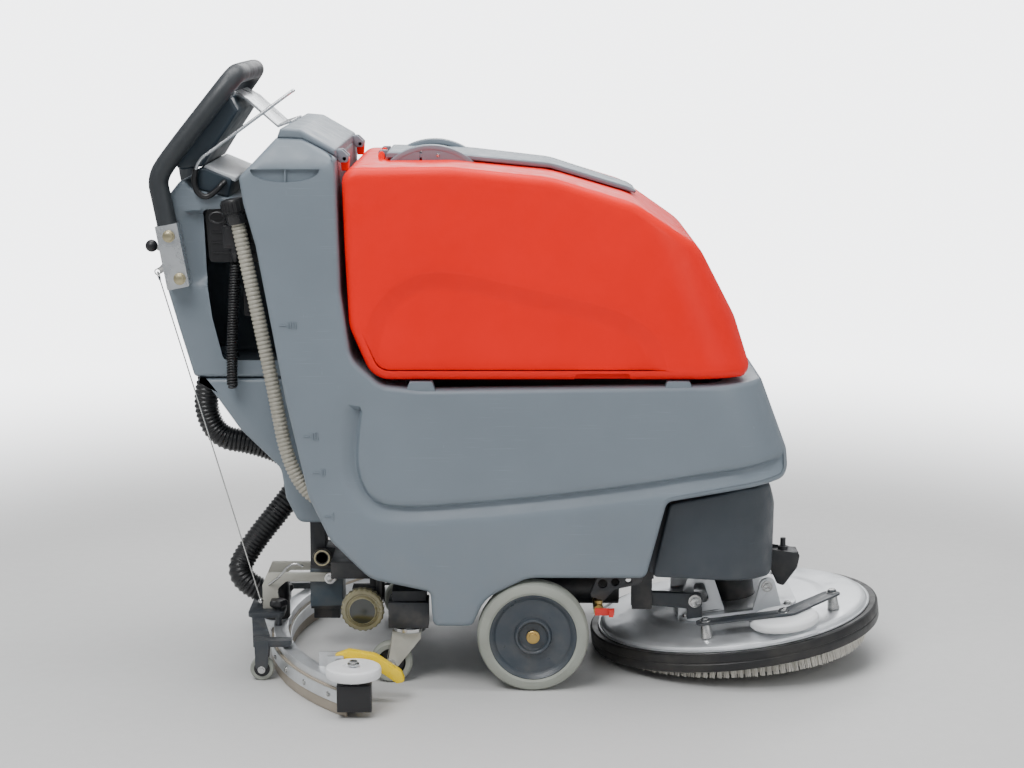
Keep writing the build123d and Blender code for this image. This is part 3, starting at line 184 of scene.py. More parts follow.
RUBBER = surface("rubber_black_mat", (0.010, 0.010, 0.011), 0.42, vary=0.2, grain=0.35, grain_scale=500,
                 dirt=0.12, dirt_top=0.2)
BRISTLE = surface("bristle_mat", (0.78, 0.75, 0.68), 0.5, vary=0.12, scale=60, dirt=0.35, dirt_top=0.04,
                  dirt_color=(0.45, 0.42, 0.36))
WHITE = surface("roller_white_mat", (0.84, 0.85, 0.86), 0.38, vary=0.04, dirt=0.22, dirt_top=0.2)
BEIGE = surface("blade_mat", (0.36, 0.31, 0.245), 0.5, vary=0.12, dirt=0.4, dirt_top=0.06)
YELLOW = surface("latch_mat", (0.90, 0.62, 0.0), 0.33, vary=0.06, scratch=0.25, scratch_tone=0.6)
HOSE = surface("hose_black_mat", (0.011, 0.011, 0.012), 0.32, vary=0.2, grain=0.2)
SPIRAL = surface("hose_beige_mat", (0.37, 0.35, 0.29), 0.42, vary=0.1, dirt=0.2, dirt_top=1.0)
BATTERY = surface("battery_mat", (0.05, 0.052, 0.058), 0.5, vary=0.1)
SMOKED = surface("filter_mat", (0.26, 0.235, 0.135), 0.2, vary=0.2, grain=0.1, coat=0.5, clear=0.2)
LENS = surface("lens_mat", (0.022, 0.026, 0.022), 0.12, vary=0.2, grain=0.05, coat=0.6)
GREEN = surface("button_mat", (0.02, 0.26, 0.07), 0.3)
PALE = surface("mark_mat", (0.62, 0.64, 0.66), 0.5)
RED_LEVER = surface("valve_red_mat", (0.62, 0.03, 0.02), 0.4)
FINISH = {
    "body_grey": GREY, "tank_red": RED, "skirt_charcoal": CHARCOAL, "console_blue_grey": CONSOLE,
    "panel_black": BLACK, "frame_black": FRAME, "arm_grey": ARM, "bracket_cream": CREAM,
    "cast_metal": CAST, "deck_metal": ZINC, "plate_metal": PLATE, "steel": STEEL, "brass": BRASS,
    "grip_black": GRIP, "tyre_grey": TYRE, "hub_dark": HUB, "ring_black": RUBBER, "bristle_white": BRISTLE,
    "roller_white": WHITE, "blade_beige": BEIGE, "latch_yellow": YELLOW, "hose_black": HOSE,
    "hose_beige": SPIRAL, "battery_grey": BATTERY, "filter_clear": SMOKED, "button_green": GREEN,
}


# ---- outlines -----------------------------------------------------------------------
def outline(corners, step=7.0, long=28.0):
    """Closed outline with tangent arcs, counter-clockwise; a corner is (a, b) or (a, b, radius)."""
    n, pts = len(corners), []
    for i in range(n):
        b = Vector(corners[i][:2])
        ua, uc = Vector(corners[i - 1][:2]) - b, Vector(corners[(i + 1) % n][:2]) - b
        la, lc = ua.length, uc.length
        ua, uc = ua / la, uc / lc
        r = corners[i][2] if len(corners[i]) > 2 else 0.0
        half = 0.5 * acos(max(-1.0, min(1.0, ua.dot(uc))))
        if r <= 0 or half > radians(89):
            pts.append(b)
            continue
        reach = min(r / tan(half), 0.47 * la, 0.47 * lc)
        r = reach * tan(half)
        c = b + (ua + uc).normalized() * (r / sin(half))
        p, q = b + ua * reach - c, b + uc * reach - c
        a0, a1 = atan2(p.y, p.x), atan2(q.y, q.x)
        sweep = (a1 - a0 + pi) % (2 * pi) - pi
        k = max(2, int(abs(sweep) / radians(11)), int(abs(sweep) * r / step))
        pts += [c + Vector((cos(a0 + sweep * j / k), sin(a0 + sweep * j / k))) * r for j in range(k + 1)]
    out = []
    for i, p in enumerate(pts):
        q = pts[(i + 1) % len(pts)]
        k = max(1, int((q - p).length / long + 0.5))
        out += [p.lerp(q, j / k) for j in range(k) if (q - p).length > 1e-4]
    area = sum(p.x * q.y - q.x * p.y for p, q in zip(out, out[1:] + out[:1]))
    return out if area > 0 else out[::-1]


def inset(pts, d):
    if d == 0:
        return list(pts)
    out = []
    for i, p in enumerate(pts):
        a, c = (p - pts[i - 1]).normalized(), (pts[(i + 1) % len(pts)] - p).normalized()
        na, nc = Vector((-a.y, a.x)), Vector((-c.y, c.x))
        out.append(p + (na + nc) * (d / max(0.35, 1 + na.dot(nc))))
    return out


def spline(points, step):
    """Evenly spaced points on the smooth curve that a route's points control."""
    p = [Vector(x) for x in points]
    fine = []
    for i in range(1, len(p) - 1):
        a = p[0] if i == 1 else (p[i - 1] + p[i]) / 2
        c = p[-1] if i == len(p) - 2 else (p[i] + p[i + 1]) / 2
        for j in range(60):
            s = j / 60
            fine.append(a * (1 - s) ** 2 + p[i] * 2 * s * (1 - s) + c * s * s)
    if len(p) == 2:
        fine = [p[0].lerp(p[1], j / 60) for j in range(60)]
    fine.append(p[-1])
    out, left = [fine[0]], step
    for a, b in zip(fine, fine[1:]):
        d = (b - a).length
        while d >= left:
            a = a.lerp(b, left / d)
            d = (b - a).length
            out.append(a)
            left = step
        left -= d
    if (out[-1] - fine[-1]).length > 0.3 * step:
        out.append(fine[-1])
    return out


class Fr:
    """A flat frame: u and v in the plane, w out of it."""

    def __init__(self, o, w, u=None):
        self.o, self.w = Vector(o), Vector(w).normalized()
        u = Vector(u) if u else (Vector((1, 0, 0)) if abs(self.w.x) < 0.9 else Vector((0, 0, 1)))
        self.u = (u - self.w * u.dot(self.w)).normalized()
        self.v = self.w.cross(self.u)

    def at(self, a, b, c=0.0):
        return self.o + self.u * a + self.v * b + self.w * c


SIDE = Fr((0, 0, 0), (0, -1, 0), (1, 0, 0))


class Shape:
    """Collects closed shells, in millimetres, that become one piece."""

    def __init__(self):
        self.v, self.f, self.m, self.mat = [], [], [], 0

    def use(self, index):
        self.mat = index
        return self

    def add(self, verts, faces):
        base = len(self.v)
        self.v += [Vector(p) for p in verts]
        self.f += [tuple(base + i for i in f) for f in faces]
        self.m += [self.mat] * len(faces)
        return self

    def rings(self, rings, loop=False, caps=True):
        n, k = len(rings[0]), len(rings)
        verts = [p for r in rings for p in r]
        faces = []
        for i in range(k if loop else k - 1):
            a, b = i * n, ((i + 1) % k) * n
            faces += [(a + j, a + (j + 1) % n, b + (j + 1) % n, b + j) for j in range(n)]
        if caps and not loop:
            faces += [tuple(range(n)), tuple(range((k - 1) * n, k * n))]
        return self.add(verts, faces)

    def prism(self, pts, fr, h0, h1, r0=0.0, r1=None, seg=3):
        r1 = r0 if r1 is None else r1
        lv = [(r0 - r0 * sin(radians(90 * k / seg)), h0 + r0 - r0 * cos(radians(90 * k / seg)))
              for k in range(seg + 1)] if r0 else [(0.0, h0)]
        lv += [(r1 - r1 * cos(radians(90 * k / seg)), h1 - r1 + r1 * sin(radians(90 * k / seg)))
               for k in range(seg + 1)] if r1 else [(0.0, h1)]
        return self.rings([[fr.at(p.x, p.y, h) for p in inset(pts, d)] for d, h in lv])

    def side(self, corners, y0, y1, r=0.0, seg=3, **k):
        return self.prism(outline(corners, **k), SIDE, -y1, -y0, r, seg=seg)

    def box(self, x0, x1, y0, y1, z0, z1, r=0.0):
        pts = [Vector(p) for p in ((x0, z0), (x1, z0), (x1, z1), (x0, z1))]
        return self.prism(pts, SIDE, -y1, -y0, r, seg=2)

    def lathe(self, fr, profile, n=48, loop=False):
        rings = [[fr.at(r * cos(2 * pi * i / n), r * sin(2 * pi * i / n), h) for i in range(n)]
                 for r, h in profile]
        return self.rings(rings, loop=loop)

    def rod(self, a, b, r, n=16, edge=0.0):
        a, b = Vector(a), Vector(b)
        h = (b - a).length
        e = edge
        prof = [(r - e, 0), (r, e), (r, h - e), (r - e, h)] if e else [(r, 0), (r, h)]
        return self.lathe(Fr(a, b - a), prof, n)

    def tube(self, path, radius, n=16, caps=True):
        """Round tube along points; radius is one number or one per point."""
        rings, u = [], None
        for i, p in enumerate(path):
            t = (path[min(i + 1, len(path) - 1)] - path[max(i - 1, 0)]).normalized()
            if u is None:
                u = t.orthogonal().normalized()
            u = (u - t * u.dot(t)).normalized()
            w = t.cross(u)
            r = radius[i] if isinstance(radius, (list, tuple)) else radius
            rings.append([p + (u * cos(2 * pi * j / n) + w * sin(2 * pi * j / n)) * r for j in range(n)])
        return self.rings(rings, caps=caps)

    def coil(self, path, r, turns, wire, per=14, n=7):
        """Wire wound round a path."""
        total, pts, u = turns * per, [], None
        for i in range(total + 1):
            s = i / total * (len(path) - 1)
            k = min(int(s), len(path) - 2)
            p, t = path[k].lerp(path[k + 1], s - k), (path[k + 1] - path[k]).normalized()
            u = (u - t * u.dot(t)).normalized() if u else t.orthogonal().normalized()
            a = 2 * pi * i / per
            pts.append(p + (u * cos(a) + t.cross(u) * sin(a)) * r)
        return self.tube(pts, wire, n)

    def hexbolt(self, at, axis, r, h, washer=1.6):
        fr = Fr(at, axis)
        if washer:
            self.lathe(fr, [(0.1, 0), (r * 1.45, 0), (r * 1.5, 0.4), (r * 1.45, washer), (0.1, washer)], 24)
        pts = [Vector((r * cos(pi / 3 * i), r * sin(pi / 3 * i))) for i in range(6)]
        return self.prism(pts, fr, washer, washer + h, 0.0, min(0.8, h * 0.3), seg=2)

    def screw(self, at, axis, r, h):
        """Round head with a round recess."""
        fr = Fr(at, axis)
        return self.lathe(fr, [(0.05, 0), (r, 0), (r, h * 0.4), (r * 0.8, h * 0.85), (r * 0.45, h),
                               (r * 0.36, h * 0.45), (0.05, h * 0.4)], 20)


def piece(name, shape, body, mats, slot=None, replaces=(), angle=35.0, weld=True):
    """Makes the object from a Shape or a bmesh in metres, smooths it and rides it on its body."""
    me = bpy.data.meshes.new(name)
    bm = bmesh.new()
    if isinstance(shape, Shape):
        me.from_pydata([p * MM for p in shape.v], [], shape.f)
        me.polygons.foreach_set("material_index", shape.m)
        bm.from_mesh(me)
    else:
        bm.from_mesh(shape)
    if weld:
        bmesh.ops.remove_doubles(bm, verts=bm.verts, dist=2e-6)
        bmesh.ops.dissolve_degenerate(bm, dist=1e-6, edges=bm.edges)
        bmesh.ops.recalc_face_normals(bm, faces=bm.faces)
    for f in bm.faces:
        f.smooth = True
    for e in bm.edges:
        e.smooth = len(e.link_faces) == 2 and e.calc_face_angle(0.0) < radians(angle)
    bm.to_mesh(me)
    bm.free()
    ob = bpy.data.objects.new(name, me)
    bpy.context.scene.collection.objects.link(ob)
    for m in mats if isinstance(mats, (list, tuple)) else [mats]:
        me.materials.append(m)
    if replaces:
        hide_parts(*replaces)
        slot = slot or SLOT_OF[replaces[0]]
    if body:
        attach(ob, body)
    return ob


def carve(name, solid, cutters):
    """Mesh of a Shape with other Shapes cut out of it, in metres."""
    def raw(shape, tag):
        me = bpy.data.meshes.new(tag)
        me.from_pydata([p * MM for p in shape.v], [], shape.f)
        me.polygons.foreach_set("material_index", shape.m)
        bm = bmesh.new()
        bm.from_mesh(me)
        bmesh.ops.remove_doubles(bm, verts=bm.verts, dist=2e-6)
        bmesh.ops.dissolve_degenerate(bm, dist=1e-6, edges=bm.edges)
        bmesh.ops.recalc_face_normals(bm, faces=bm.faces)
        bm.to_mesh(me)
        bm.free()
        ob = bpy.data.objects.new(tag, me)
        bpy.context.scene.collection.objects.link(ob)
        return ob

    ob = raw(solid, name + "_raw")
    tools = [raw(c, f"{name}_cut{i}") for i, c in enumerate(cutters)]
    for tool in tools:
        md = ob.modifiers.new("cut", "BOOLEAN")
        md.operation, md.object, md.solver = "DIFFERENCE", tool, "EXACT"
    bpy.context.view_layer.update()
    dg = bpy.context.evaluated_depsgraph_get()
    me = bpy.data.meshes.new_from_object(ob.evaluated_get(dg))
    for x in [ob, *tools]:
        bpy.data.objects.remove(x)
    return me


def refine(name, bevel=0.7, mat=None, angle=35.0):
    """A copy of a CAD node with its flat faces merged and its sharp edges rounded."""
    bm = bmesh.new()
    bm.from_mesh(NODES[name].data)
    bmesh.ops.remove_doubles(bm, verts=bm.verts, dist=1e-5)
    if bevel:
        bmesh.ops.dissolve_limit(bm, angle_limit=radians(0.6), verts=bm.verts, edges=bm.edges)
        sharp = [e for e in bm.edges if len(e.link_faces) == 2 and e.calc_face_angle(0.0) > radians(38)]
        bmesh.ops.bevel(bm, geom=sharp, offset=bevel * MM, segments=2, profile=0.5, affect="EDGES",
                        clamp_overlap=False)
    me = bpy.data.meshes.new(name)
    bm.to_mesh(me)
    bm.free()
    return piece(name + "_form", me, BODY_OF[name], mat or FINISH[SLOT_OF[name]], replaces=[name],
                 angle=angle, weld=False)


# ---- moulded tanks ------------------------------------------------------------------
HALF, NOSE_R = 260.0, 120.0


def nose_half(x, z):
    t = x - (470.0 + 0.37 * (400.0 - z) - NOSE_R)
    return HALF if t <= 0 else HALF - NOSE_R + sqrt(max(0.0, NOSE_R ** 2 - t * t))


def to_lines(p, lines):
    """Distance from points to polylines, signed by the nearest segment, and how far along it is."""
    p = np.asarray(p, float)
    best, sign, along, base = np.full(len(p), 1e9), np.zeros(len(p)), np.zeros(len(p)), 0.0
    for a, b in zip(lines, lines[1:]):
        a, b = np.array(a, float), np.array(b, float)
        ab = b - a
        ln = hypot(*ab)
        if ln < 1e-9:
            continue
        s = np.clip(((p - a) @ ab) / ln ** 2, 0, 1)
        q = p - a - s[:, None] * ab
        d = np.hypot(q[:, 0], q[:, 1])
        side = ab[0] * (p[:, 1] - a[1]) - ab[1] * (p[:, 0] - a[0])
        near = d < best - 1e-9
        best[near], sign[near], along[near] = d[near], np.sign(side[near]), base + s[near] * ln
        base += ln
    return best * sign, along, base


def inside(p, poly):
    p, poly = np.asarray(p, float), np.array([tuple(q) for q in poly], float)
    hit = np.zeros(len(p), bool)
    for a, b in zip(poly, np.roll(poly, -1, axis=0)):
        cross = (a[1] > p[:, 1]) != (b[1] > p[:, 1])
        with np.errstate(divide="ignore", invalid="ignore"):
            x = (b[0] - a[0]) * (p[:, 1] - a[1]) / (b[1] - a[1]) + a[0]
        hit ^= cross & (p[:, 0] < x)
    return hit


class Groove:
    """A relief that follows an open path; steps are (offset to the left of it, depth)."""

    def __init__(self, corners, steps, fade0=0.0, fade1=0.0):
        pts = [Vector(c[:2]) for c in corners]
        self.path = [tuple(p) for p in spline([(p.x, p.y, 0) for p in pts], 9.0)]
        self.path = [(p[0], p[1]) for p in self.path]
        self.steps, self.fade0, self.fade1 = steps, fade0, fade1

    def lines(self):
        p = [Vector(q) for q in self.path]
        for off, _ in self.steps:
            line = []
            for i, q in enumerate(p):
                t = (p[min(i + 1, len(p) - 1)] - p[max(i - 1, 0)]).normalized()
                line.append(q + Vector((-t.y, t.x)) * off)
            yield line

    def depth(self, pts):
        d, s, total = to_lines(pts, self.path)
        xs, ys = [o for o, _ in self.steps], [h for _, h in self.steps]
        f = np.interp(d, xs, ys)
        if self.fade0:
            f *= np.clip(s / self.fade0, 0, 1)
        if self.fade1:
            f *= np.clip((total - s) / self.fade1, 0, 1)
        return f


def tank(corners, half, r, grooves=(), creases=(), nose=True, spacing=24.0, seg=5, step=7.0, squeeze=None):
    """Moulded tank: a side outline run across the machine, with rounded rims and side reliefs."""
    rim = outline(corners, step, 14.0 if nose else 24.0)
    shape = Shape()
    levels = [(r - r * cos(radians(90 * k / seg)), half - r + r * sin(radians(90 * k / seg)))
              for k in range(seg + 1)]

    def place(p, y):
        k = nose_half(p[0], p[1]) / HALF if nose else 1.0
        y = y * k
        if squeeze:
            y = squeeze(p[0], p[1], y)
        return Vector((p[0], y, p[1]))

    full = [(d, y) for d, y in reversed(levels)] + [(d, -y) for d, y in levels]
    shape.rings([[place(p, y) for p in inset(rim, d)] for d, y in full], caps=False)
    edge = inset(rim, r)
    lines = [ln for g in grooves for ln in g.lines()] + [[Vector(p) for p in c] for c in creases]
    closed = [tuple(p) for p in edge] + [tuple(edge[0])]
    kept = []
    for ln in lines:
        run = []
        pts = [tuple(p) for p in ln]
        ok = inside(pts, edge) & (np.abs(to_lines(pts, closed)[0]) > 2.5)
        for p, good in zip(pts, ok):
            if good:
                run.append(p)
            elif len(run) > 1:
                kept.append(run)
                run = []
            else:
                run = []
        if len(run) > 1:
            kept.append(run)
    xs, zs = [p.x for p in edge], [p.y for p in edge]
    grid = []
    z = min(zs) + spacing / 2
    while z < max(zs):
        front = 470.0 + 0.37 * (400.0 - z)
        x = min(xs) + spacing / 2
        while x < (front - NOSE_R if nose else max(xs)):
            grid.append((x, z))
            x += spacing
        if nose:
            grid += [(front - NOSE_R + NOSE_R * sin(radians(8 * k)), z) for k in range(1, 11)]
        z += spacing * (0.6 if nose else 1.0)
    grid = np.array(grid)
    grid = grid[inside(grid, edge)]
    grid = grid[np.abs(to_lines(grid, closed)[0]) > 5]
    for ln in kept:
        grid = grid[np.abs(to_lines(grid, ln)[0]) > 5]
    verts = [Vector(p) for p in edge]
    n = len(verts)
    edges = [(i, (i + 1) % n) for i in range(n)]
    for ln in kept:
        base = len(verts)
        verts += [Vector(p) for p in ln]
        edges += [(base + i, base + i + 1) for i in range(len(ln) - 1)]
    verts += [Vector(p) for p in grid]
    out, _, faces, *_ = delaunay_2d_cdt(verts, edges, [], 0, 1e-4)
    flat = np.array([tuple(p) for p in out])
    mid = np.array([flat[list(f)].mean(0) for f in faces])
    faces = [f for f, good in zip(faces, inside(mid, edge)) if good]
    depth = sum((g.depth(flat) for g in grooves), np.zeros(len(flat)))
    for s in (-1, 1):
        shape.add([place(p, s * (half - d)) for p, d in zip(flat, depth)], faces)
    return shape


LOWER = [
    (-312, 925, 12), (-369, 957, 10), (-411, 959, 10), (-456, 911, 10), (-474, 893, 12), (-467, 848, 24),
    (-448, 778, 24), (-403, 516, 60), (-366, 345, 70), (-330, 268, 60), (-262, 200, 50), (-158, 177, 12),
    (-154, 116, 12), (-86, 116, 14), (-64, 165, 60), (10, 202, 60), (214, 202, 14), (249, 336, 14),
    (378, 359, 24), (462, 372, 24), (464, 412, 16), (416, 540, 10), (-173, 532, 30), (-240, 540, 34),
    (-290, 585, 50), (-306, 700, 60),
]
channel = Groove([(-284, 506), (-294, 440), (-291, 375), (-262, 326), (-205, 315), (-100, 322), (60, 337),
                  (205, 356), (300, 372), (470, 398)],
                 [(-24, 0.0), (-18, 1.0), (-12, 3.2), (0, 11.0), (5, 13.5), (8, 13.5), (14, 3.0),
                  (19, 0.7), (24, 0.0)], fade0=6, fade1=30)


def column_top(x, z, y):
    """The roof edges of the rear column lean inwards."""
    if x < -318 and z > 911:
        return y * (1 - 0.0021 * (z - 911))
    return y


body = tank(LOWER, HALF, 9.0, [channel], [[(-456 + 6 * i, 911) for i in range(1, 22)]], squeeze=column_top)
under = Shape().box(-420, 242, -226, 226, -50, 198)
bay = Shape().prism(outline([(-200, -226, 30), (346, -226, 40), (346, 226, 40), (-200, 226, 30)]),
                    Fr((0, 0, 0), (0, 0, 1), (1, 0, 0)), 214, 620)
cut = [under, bay]
for s in (-1, 1):
    lens = [Vector((-396 + 58 * cos(radians(a)), 907 - 22 * abs(sin(radians(a))) ** 0.9))
            for a in range(180, 361, 12)]
    scoop = Shape().prism(lens[::-1] if lens[0].x < lens[1].x else lens, SIDE,
                          *((252, 275) if s < 0 else (-275, -252)))
    cut.append(scoop)
piece("body_shell", carve("body_shell", body, cut), "chassis", GREY, replaces=["lower_tank"], weld=False)

trim = Shape()
for s in (-1, 1):
    y = s * 256
    for x in (-172, 266):                                # pads that the upper tank sits on
        trim.side([(x - 26, 528), (x + 26, 528), (x + 19, 547, 4), (x - 19, 547, 4)], min(y, y - s * 22),
                  max(y, y - s * 22), 1.5)
    trim.box(-397.5, -394.5, min(s * 251, s * 257.5), max(s * 251, s * 257.5), 884, 908, 0.8)
    for x, z, k in ((-410, 643, 4), (-372, 452, 3), (-357, 389, 2), (-339, 312, 1)):   # level marks
        lo, hi = sorted((s * 259.5, s * 262.0))
        trim.box(x, x + 11, lo, hi, z, z + 1.6, 0.5)
        for i in range(k):
            trim.box(x + 15 + 4 * i, x + 16.6 + 4 * i, lo, hi, z - 5, z + 7, 0.5)
piece("body_trim", trim, "chassis", GREY, slot="body_grey")

panel = Shape()
for s in (-1, 1):
    panel.side([(225, 190, 6), (300, 190, 6), (300, 330, 6), (225, 330, 6)], *sorted((s * 168, s * 176)), 1.0)
piece("skirt_inner", panel, "chassis", CHARCOAL, slot="skirt_charcoal")

neck = Shape()
neck.side([(-572, 533, 6), (-556, 529, 10), (-537, 504, 30), (-494, 442, 40), (-424, 372, 30),
           (-416, 318, 20),
           (-394, 274, 16), (-340, 274), (-396, 533)], -150, 20, 7.0)
piece("neck_lower", neck, "chassis", GREY, slot="body_grey")

NECK = [(-607, 856, 14), (-625, 803, 30), (-615, 690, 60), (-596, 620, 60), (-572, 536, 9), (-414, 536, 9),
        (-453, 778, 12), (-472, 848, 9), (-506, 850, 9), (-570, 866, 9), (-584, 884, 10)]
scoop = Groove([(-600, 828), (-600, 800), (-594, 760), (-586, 720), (-580, 690)],
               [(-3, 0.0), (2, 0.8), (34, 17.0), (44, 19.0)], fade0=9, fade1=16)
cover = tank(NECK, 150.0, 7.0, [scoop], nose=False, spacing=9.0)
slot_cut = Shape().box(-680, -590, -109, -91, 698, 792)
cuts = [slot_cut, Shape().rod((-545, 65, 520), (-545, 65, 560), 22.5, 32)]
cuts.append(Shape().side([(-552, 829, 10), (-480, 832, 8), (-420, 832, 8), (-400, 640, 8), (-400, 566, 6),
                          (-520, 566, 10), (-538, 640, 30), (-548, 720, 60)], -170, -119))
piece("neck_shell", carve("neck_shell", cover, cuts), "chassis", GREY, replaces=["neck_cover"], weld=False)
# black ribbed sheet at the back of the upper neck recess: painted shade, a dark panel standing in for the
# shadow inside the recess
shade_sheet = Shape().side([(-550, 827, 9), (-481, 830, 8), (-462, 826, 8), (-448, 735, 6), (-544, 735, 8)], -123,
                      -118)
for z in (750, 768, 786, 804):
    shade_sheet.box(-538, -462, -125.5, -122, z, z + 3, 0.8)
piece("neck_shade_sheet", shade_sheet, "chassis", BLACK, slot="panel_black")
port = Shape().side([(-486, 640, 4), (-462, 640, 4), (-468, 690, 4), (-486, 690, 4)], -124, -117, 1.0)
port.screw((-480, -124, 646), (0, -1, 0), 2.4, 1.4)
piece("neck_port", port, "chassis", BLACK, slot="panel_black")

# ---- upper tank ---------------------------------------------------------------------
UPPER = [(-303, 909, 26), (-299, 772, 60), (-293, 640, 60), (-254, 549, 44), (398, 549, 18), (366, 650, 90),
         (300, 775, 80), (190, 850, 90), (50, 893, 200), (-120, 911, 150)]
swoosh = Groove([(-276, 540), (-276, 600), (-262, 662), (-222, 712), (-165, 738), (-100, 734), (-10, 712),
                 (90, 690), (170, 668), (225, 636), (246, 590), (252, 540)],
                [(-36, 11.5), (-29, 11.0), (-4, 0.8), (0, 0.0), (40, 0.0)])
tub = tank(UPPER, HALF, 17.0, [swoosh], spacing=24.0)
grip_cuts = []
for s in (-1, 1):
    grip_cuts.append(Shape().side([(82, 530), (190, 530), (182, 561, 6), (92, 561, 6)],
                                  *((-280, -238) if s < 0 else (238, 280))))
mouth = Shape().prism(outline([(-196, -58, 20), (150, -46, 20), (150, 46, 20), (-196, 58, 20)]),
                      Fr((0, 0, 0), (0, 0, 1), (1, 0, 0)), 800, 980)
chamber = Shape().side([(-250, 600, 30), (320, 600, 30), (250, 740, 60), (60, 838, 80), (-250, 858, 30)],
                       -235, 235)
tub_mesh = carve("tank_shell", tub, [*grip_cuts, chamber, mouth])
piece("tank_shell", tub_mesh, "upper_tank", RED, replaces=["recovery_tank"], weld=False)
lugs = Shape()
for y in (-190, 190):
    lugs.prism(outline([(-306, 900), (-294, 900), (-292.5, 921, 7), (-300, 928.5, 7.4), (-307.5, 921, 7)], 2),
               SIDE, -y - 10, -y + 10, 1.0)
for y in (-63, -37, 37, 63):
    lugs.prism(outline([(-251, 900), (-241, 900), (-240, 919, 6), (-246, 925, 5.8), (-252, 919, 6)], 2),
               SIDE, -y - 4, -y + 4, 0.8)
piece("tank_lugs", lugs, "upper_tank", RED, slot="tank_red")
pins = Shape()
for y in (-50, 50):
    pins.rod((-246, y - 14, 919), (-246, y + 14, 919), 3.0, 16, 0.6)
piece("lid_pins", pins, "upper_tank", STEEL, slot="steel")

lid = Shape()
strip = [(-236, 913), (-120, 913), (50, 895), (199, 849.5), (203, 853, 4), (190, 861, 10), (50, 905, 100),
         (-120, 923, 80), (-236, 925, 5)]


def strip_half(x):
    return 97.0 if x < -70 else 97.0 - 36.0 * min(1.0, (x + 70) / 250.0)


top = outline(strip, 8, 16)
lid.rings([[Vector((p.x, y * strip_half(p.x), p.y)) for p in inset(top, d)]
           for d, y in ((2.5, -1.0), (0.7, -0.985), (0.0, -0.96), (0.0, 0.96), (0.7, 0.985), (2.5, 1.0))])
EX, EZ, ER = -158.0, 826.0, 107.0                         # the ears' arc


def ear_arc(r, a0, a1, n):
    return [Vector((EX + r * cos(radians(a)), EZ + r * sin(radians(a)))) for a in np.linspace(a0, a1, n)]


for s in (-1, 1):
    arc = ear_arc(ER, 49, 131, 44)
    for x0, x1 in ((-240, -177.4), (-176.2, -80)):       # the ear is split by a joint line
        part = [p for p in arc if x0 <= p.x <= x1]
        ends = [Vector((part[-1].x, 908)), Vector((part[0].x, 908))]
        lid.prism(ends + part, SIDE, s * -86 - 12, s * -86 + 12, 1.6)
    lid.prism(ear_arc(ER + 3.5, 46, 134, 48) + ear_arc(ER - 5.5, 134, 46, 48), SIDE, s * -84 - 14.6,
              s * -84 + 14.6, 1.5)
for y in (-50, 50):
    lid.prism(outline([(-252, 913, 5), (-236, 913), (-236, 925), (-252, 925, 5)], 2), SIDE, -y - 8, -y + 8,
              0.8)
piece("lid_form", lid, "lid", GREY, replaces=["tank_lid"])
screws = Shape()
for s in (-1, 1):
    screws.screw((-146, s * 98, 919), (0, s, 0), 3.0, 1.6)
piece("lid_screws", screws, "lid", STEEL, slot="steel")

# ---- hood, console and handle -------------------------------------------------------
hood = Shape()
hood.side([(-411, 958), (-405, 975, 7), (-372, 972, 12), (-313, 938, 6), (-312.5, 926), (-369, 956)], -234,
          234, 5.0)
for y in (-190, 190):
    for t in (-16, 16):
        hood.prism(outline([(-318, 930), (-308, 915), (-294, 914, 6), (-292.6, 925, 6), (-304, 936, 4),
                            (-318, 936)], 2),
                   SIDE, -y - t - 5, -y - t + 5, 1.0)
piece("hood_form", hood, "chassis", GREY, replaces=["column_hood"])
pins = Shape()
for y in (-190, 190):
    pins.rod((-300, y - 21, 921), (-300, y + 21, 921), 4.0, 16, 0.8)
piece("hinge_pins", pins, "chassis", STEEL, slot="steel")

con = tank([(-600, 912, 14), (-521, 1013, 12), (-500, 1024, 7), (-486, 998, 7), (-521, 946, 12),
            (-548, 903, 8),
            (-590, 896, 10)], 146.0, 7.0, nose=False, spacing=30.0)
face = Fr((-560.5, 0, 962.5), (-0.788, 0, 0.616), (0, 1, 0))
plate_pts = outline([(-132, -48, 10), (132, -48, 10), (132, 48, 10), (-132, 48, 10)], 3)
con.prism(plate_pts, face, -2.0, 1.5, 0.8)
piece("console_form", con, "chassis", CONSOLE, replaces=["console"])
dial = Shape()
for u, v, r in ((-62, 26, 16.0), (-104, -22, 12.0)):
    for k in range(11):
        a = radians(-135 + 27 * k)
        d = Vector((sin(a), cos(a)))
        f = Fr(face.at(u + d.x * (r + 6), v + d.y * (r + 6), 1.5), face.w, face.u * d.x + face.v * d.y)
        dial.prism([Vector((-2.4, -0.5)), Vector((2.4, -0.5)), Vector((2.4, 0.5)), Vector((-2.4, 0.5))], f,
                   -0.2, 0.35)
for k in range(5):                                        # charge lamps
    dial.lathe(Fr(face.at(-8 + 12 * k, -16, 1.3), face.w),
               [(0.1, 0), (2.6, 0), (2.6, 0.6), (1.8, 1.2), (0.1, 1.4)], 16)
piece("console_marks", dial, "chassis", PALE, slot="steel")
keys = Shape()
for k in range(3):
    keys.prism(outline([(-11, -8, 3), (11, -8, 3), (11, 8, 3), (-11, 8, 3)], 2),
               Fr(face.at(72, 30 - 30 * k, 1.4), face.w, face.u), 0, 3.5, 1.2)
keys.lathe(Fr(face.at(104, -6, 1.4), face.w), [(0.1, 0), (11, 0), (11, 3), (9, 4), (0.1, 4)], 32)
piece("console_keys", keys, "chassis", BLACK, slot="panel_black")
box_ = Shape()
box_.side([(-566, 866), (-567, 889, 8), (-556, 900, 4), (-545, 900.5, 4), (-498, 881, 7), (-506, 851)], -147,
          147, 3.0)
piece("switch_box_form", box_, "chassis", CONSOLE, replaces=["switch_box"])
cap = Shape()
cap.side([(-549, 899), (-545, 906, 3), (-492, 884, 4), (-494, 876)], -141, 141, 2.0)
piece("switch_box_cover", cap, "chassis", PALE, slot="plate_metal")

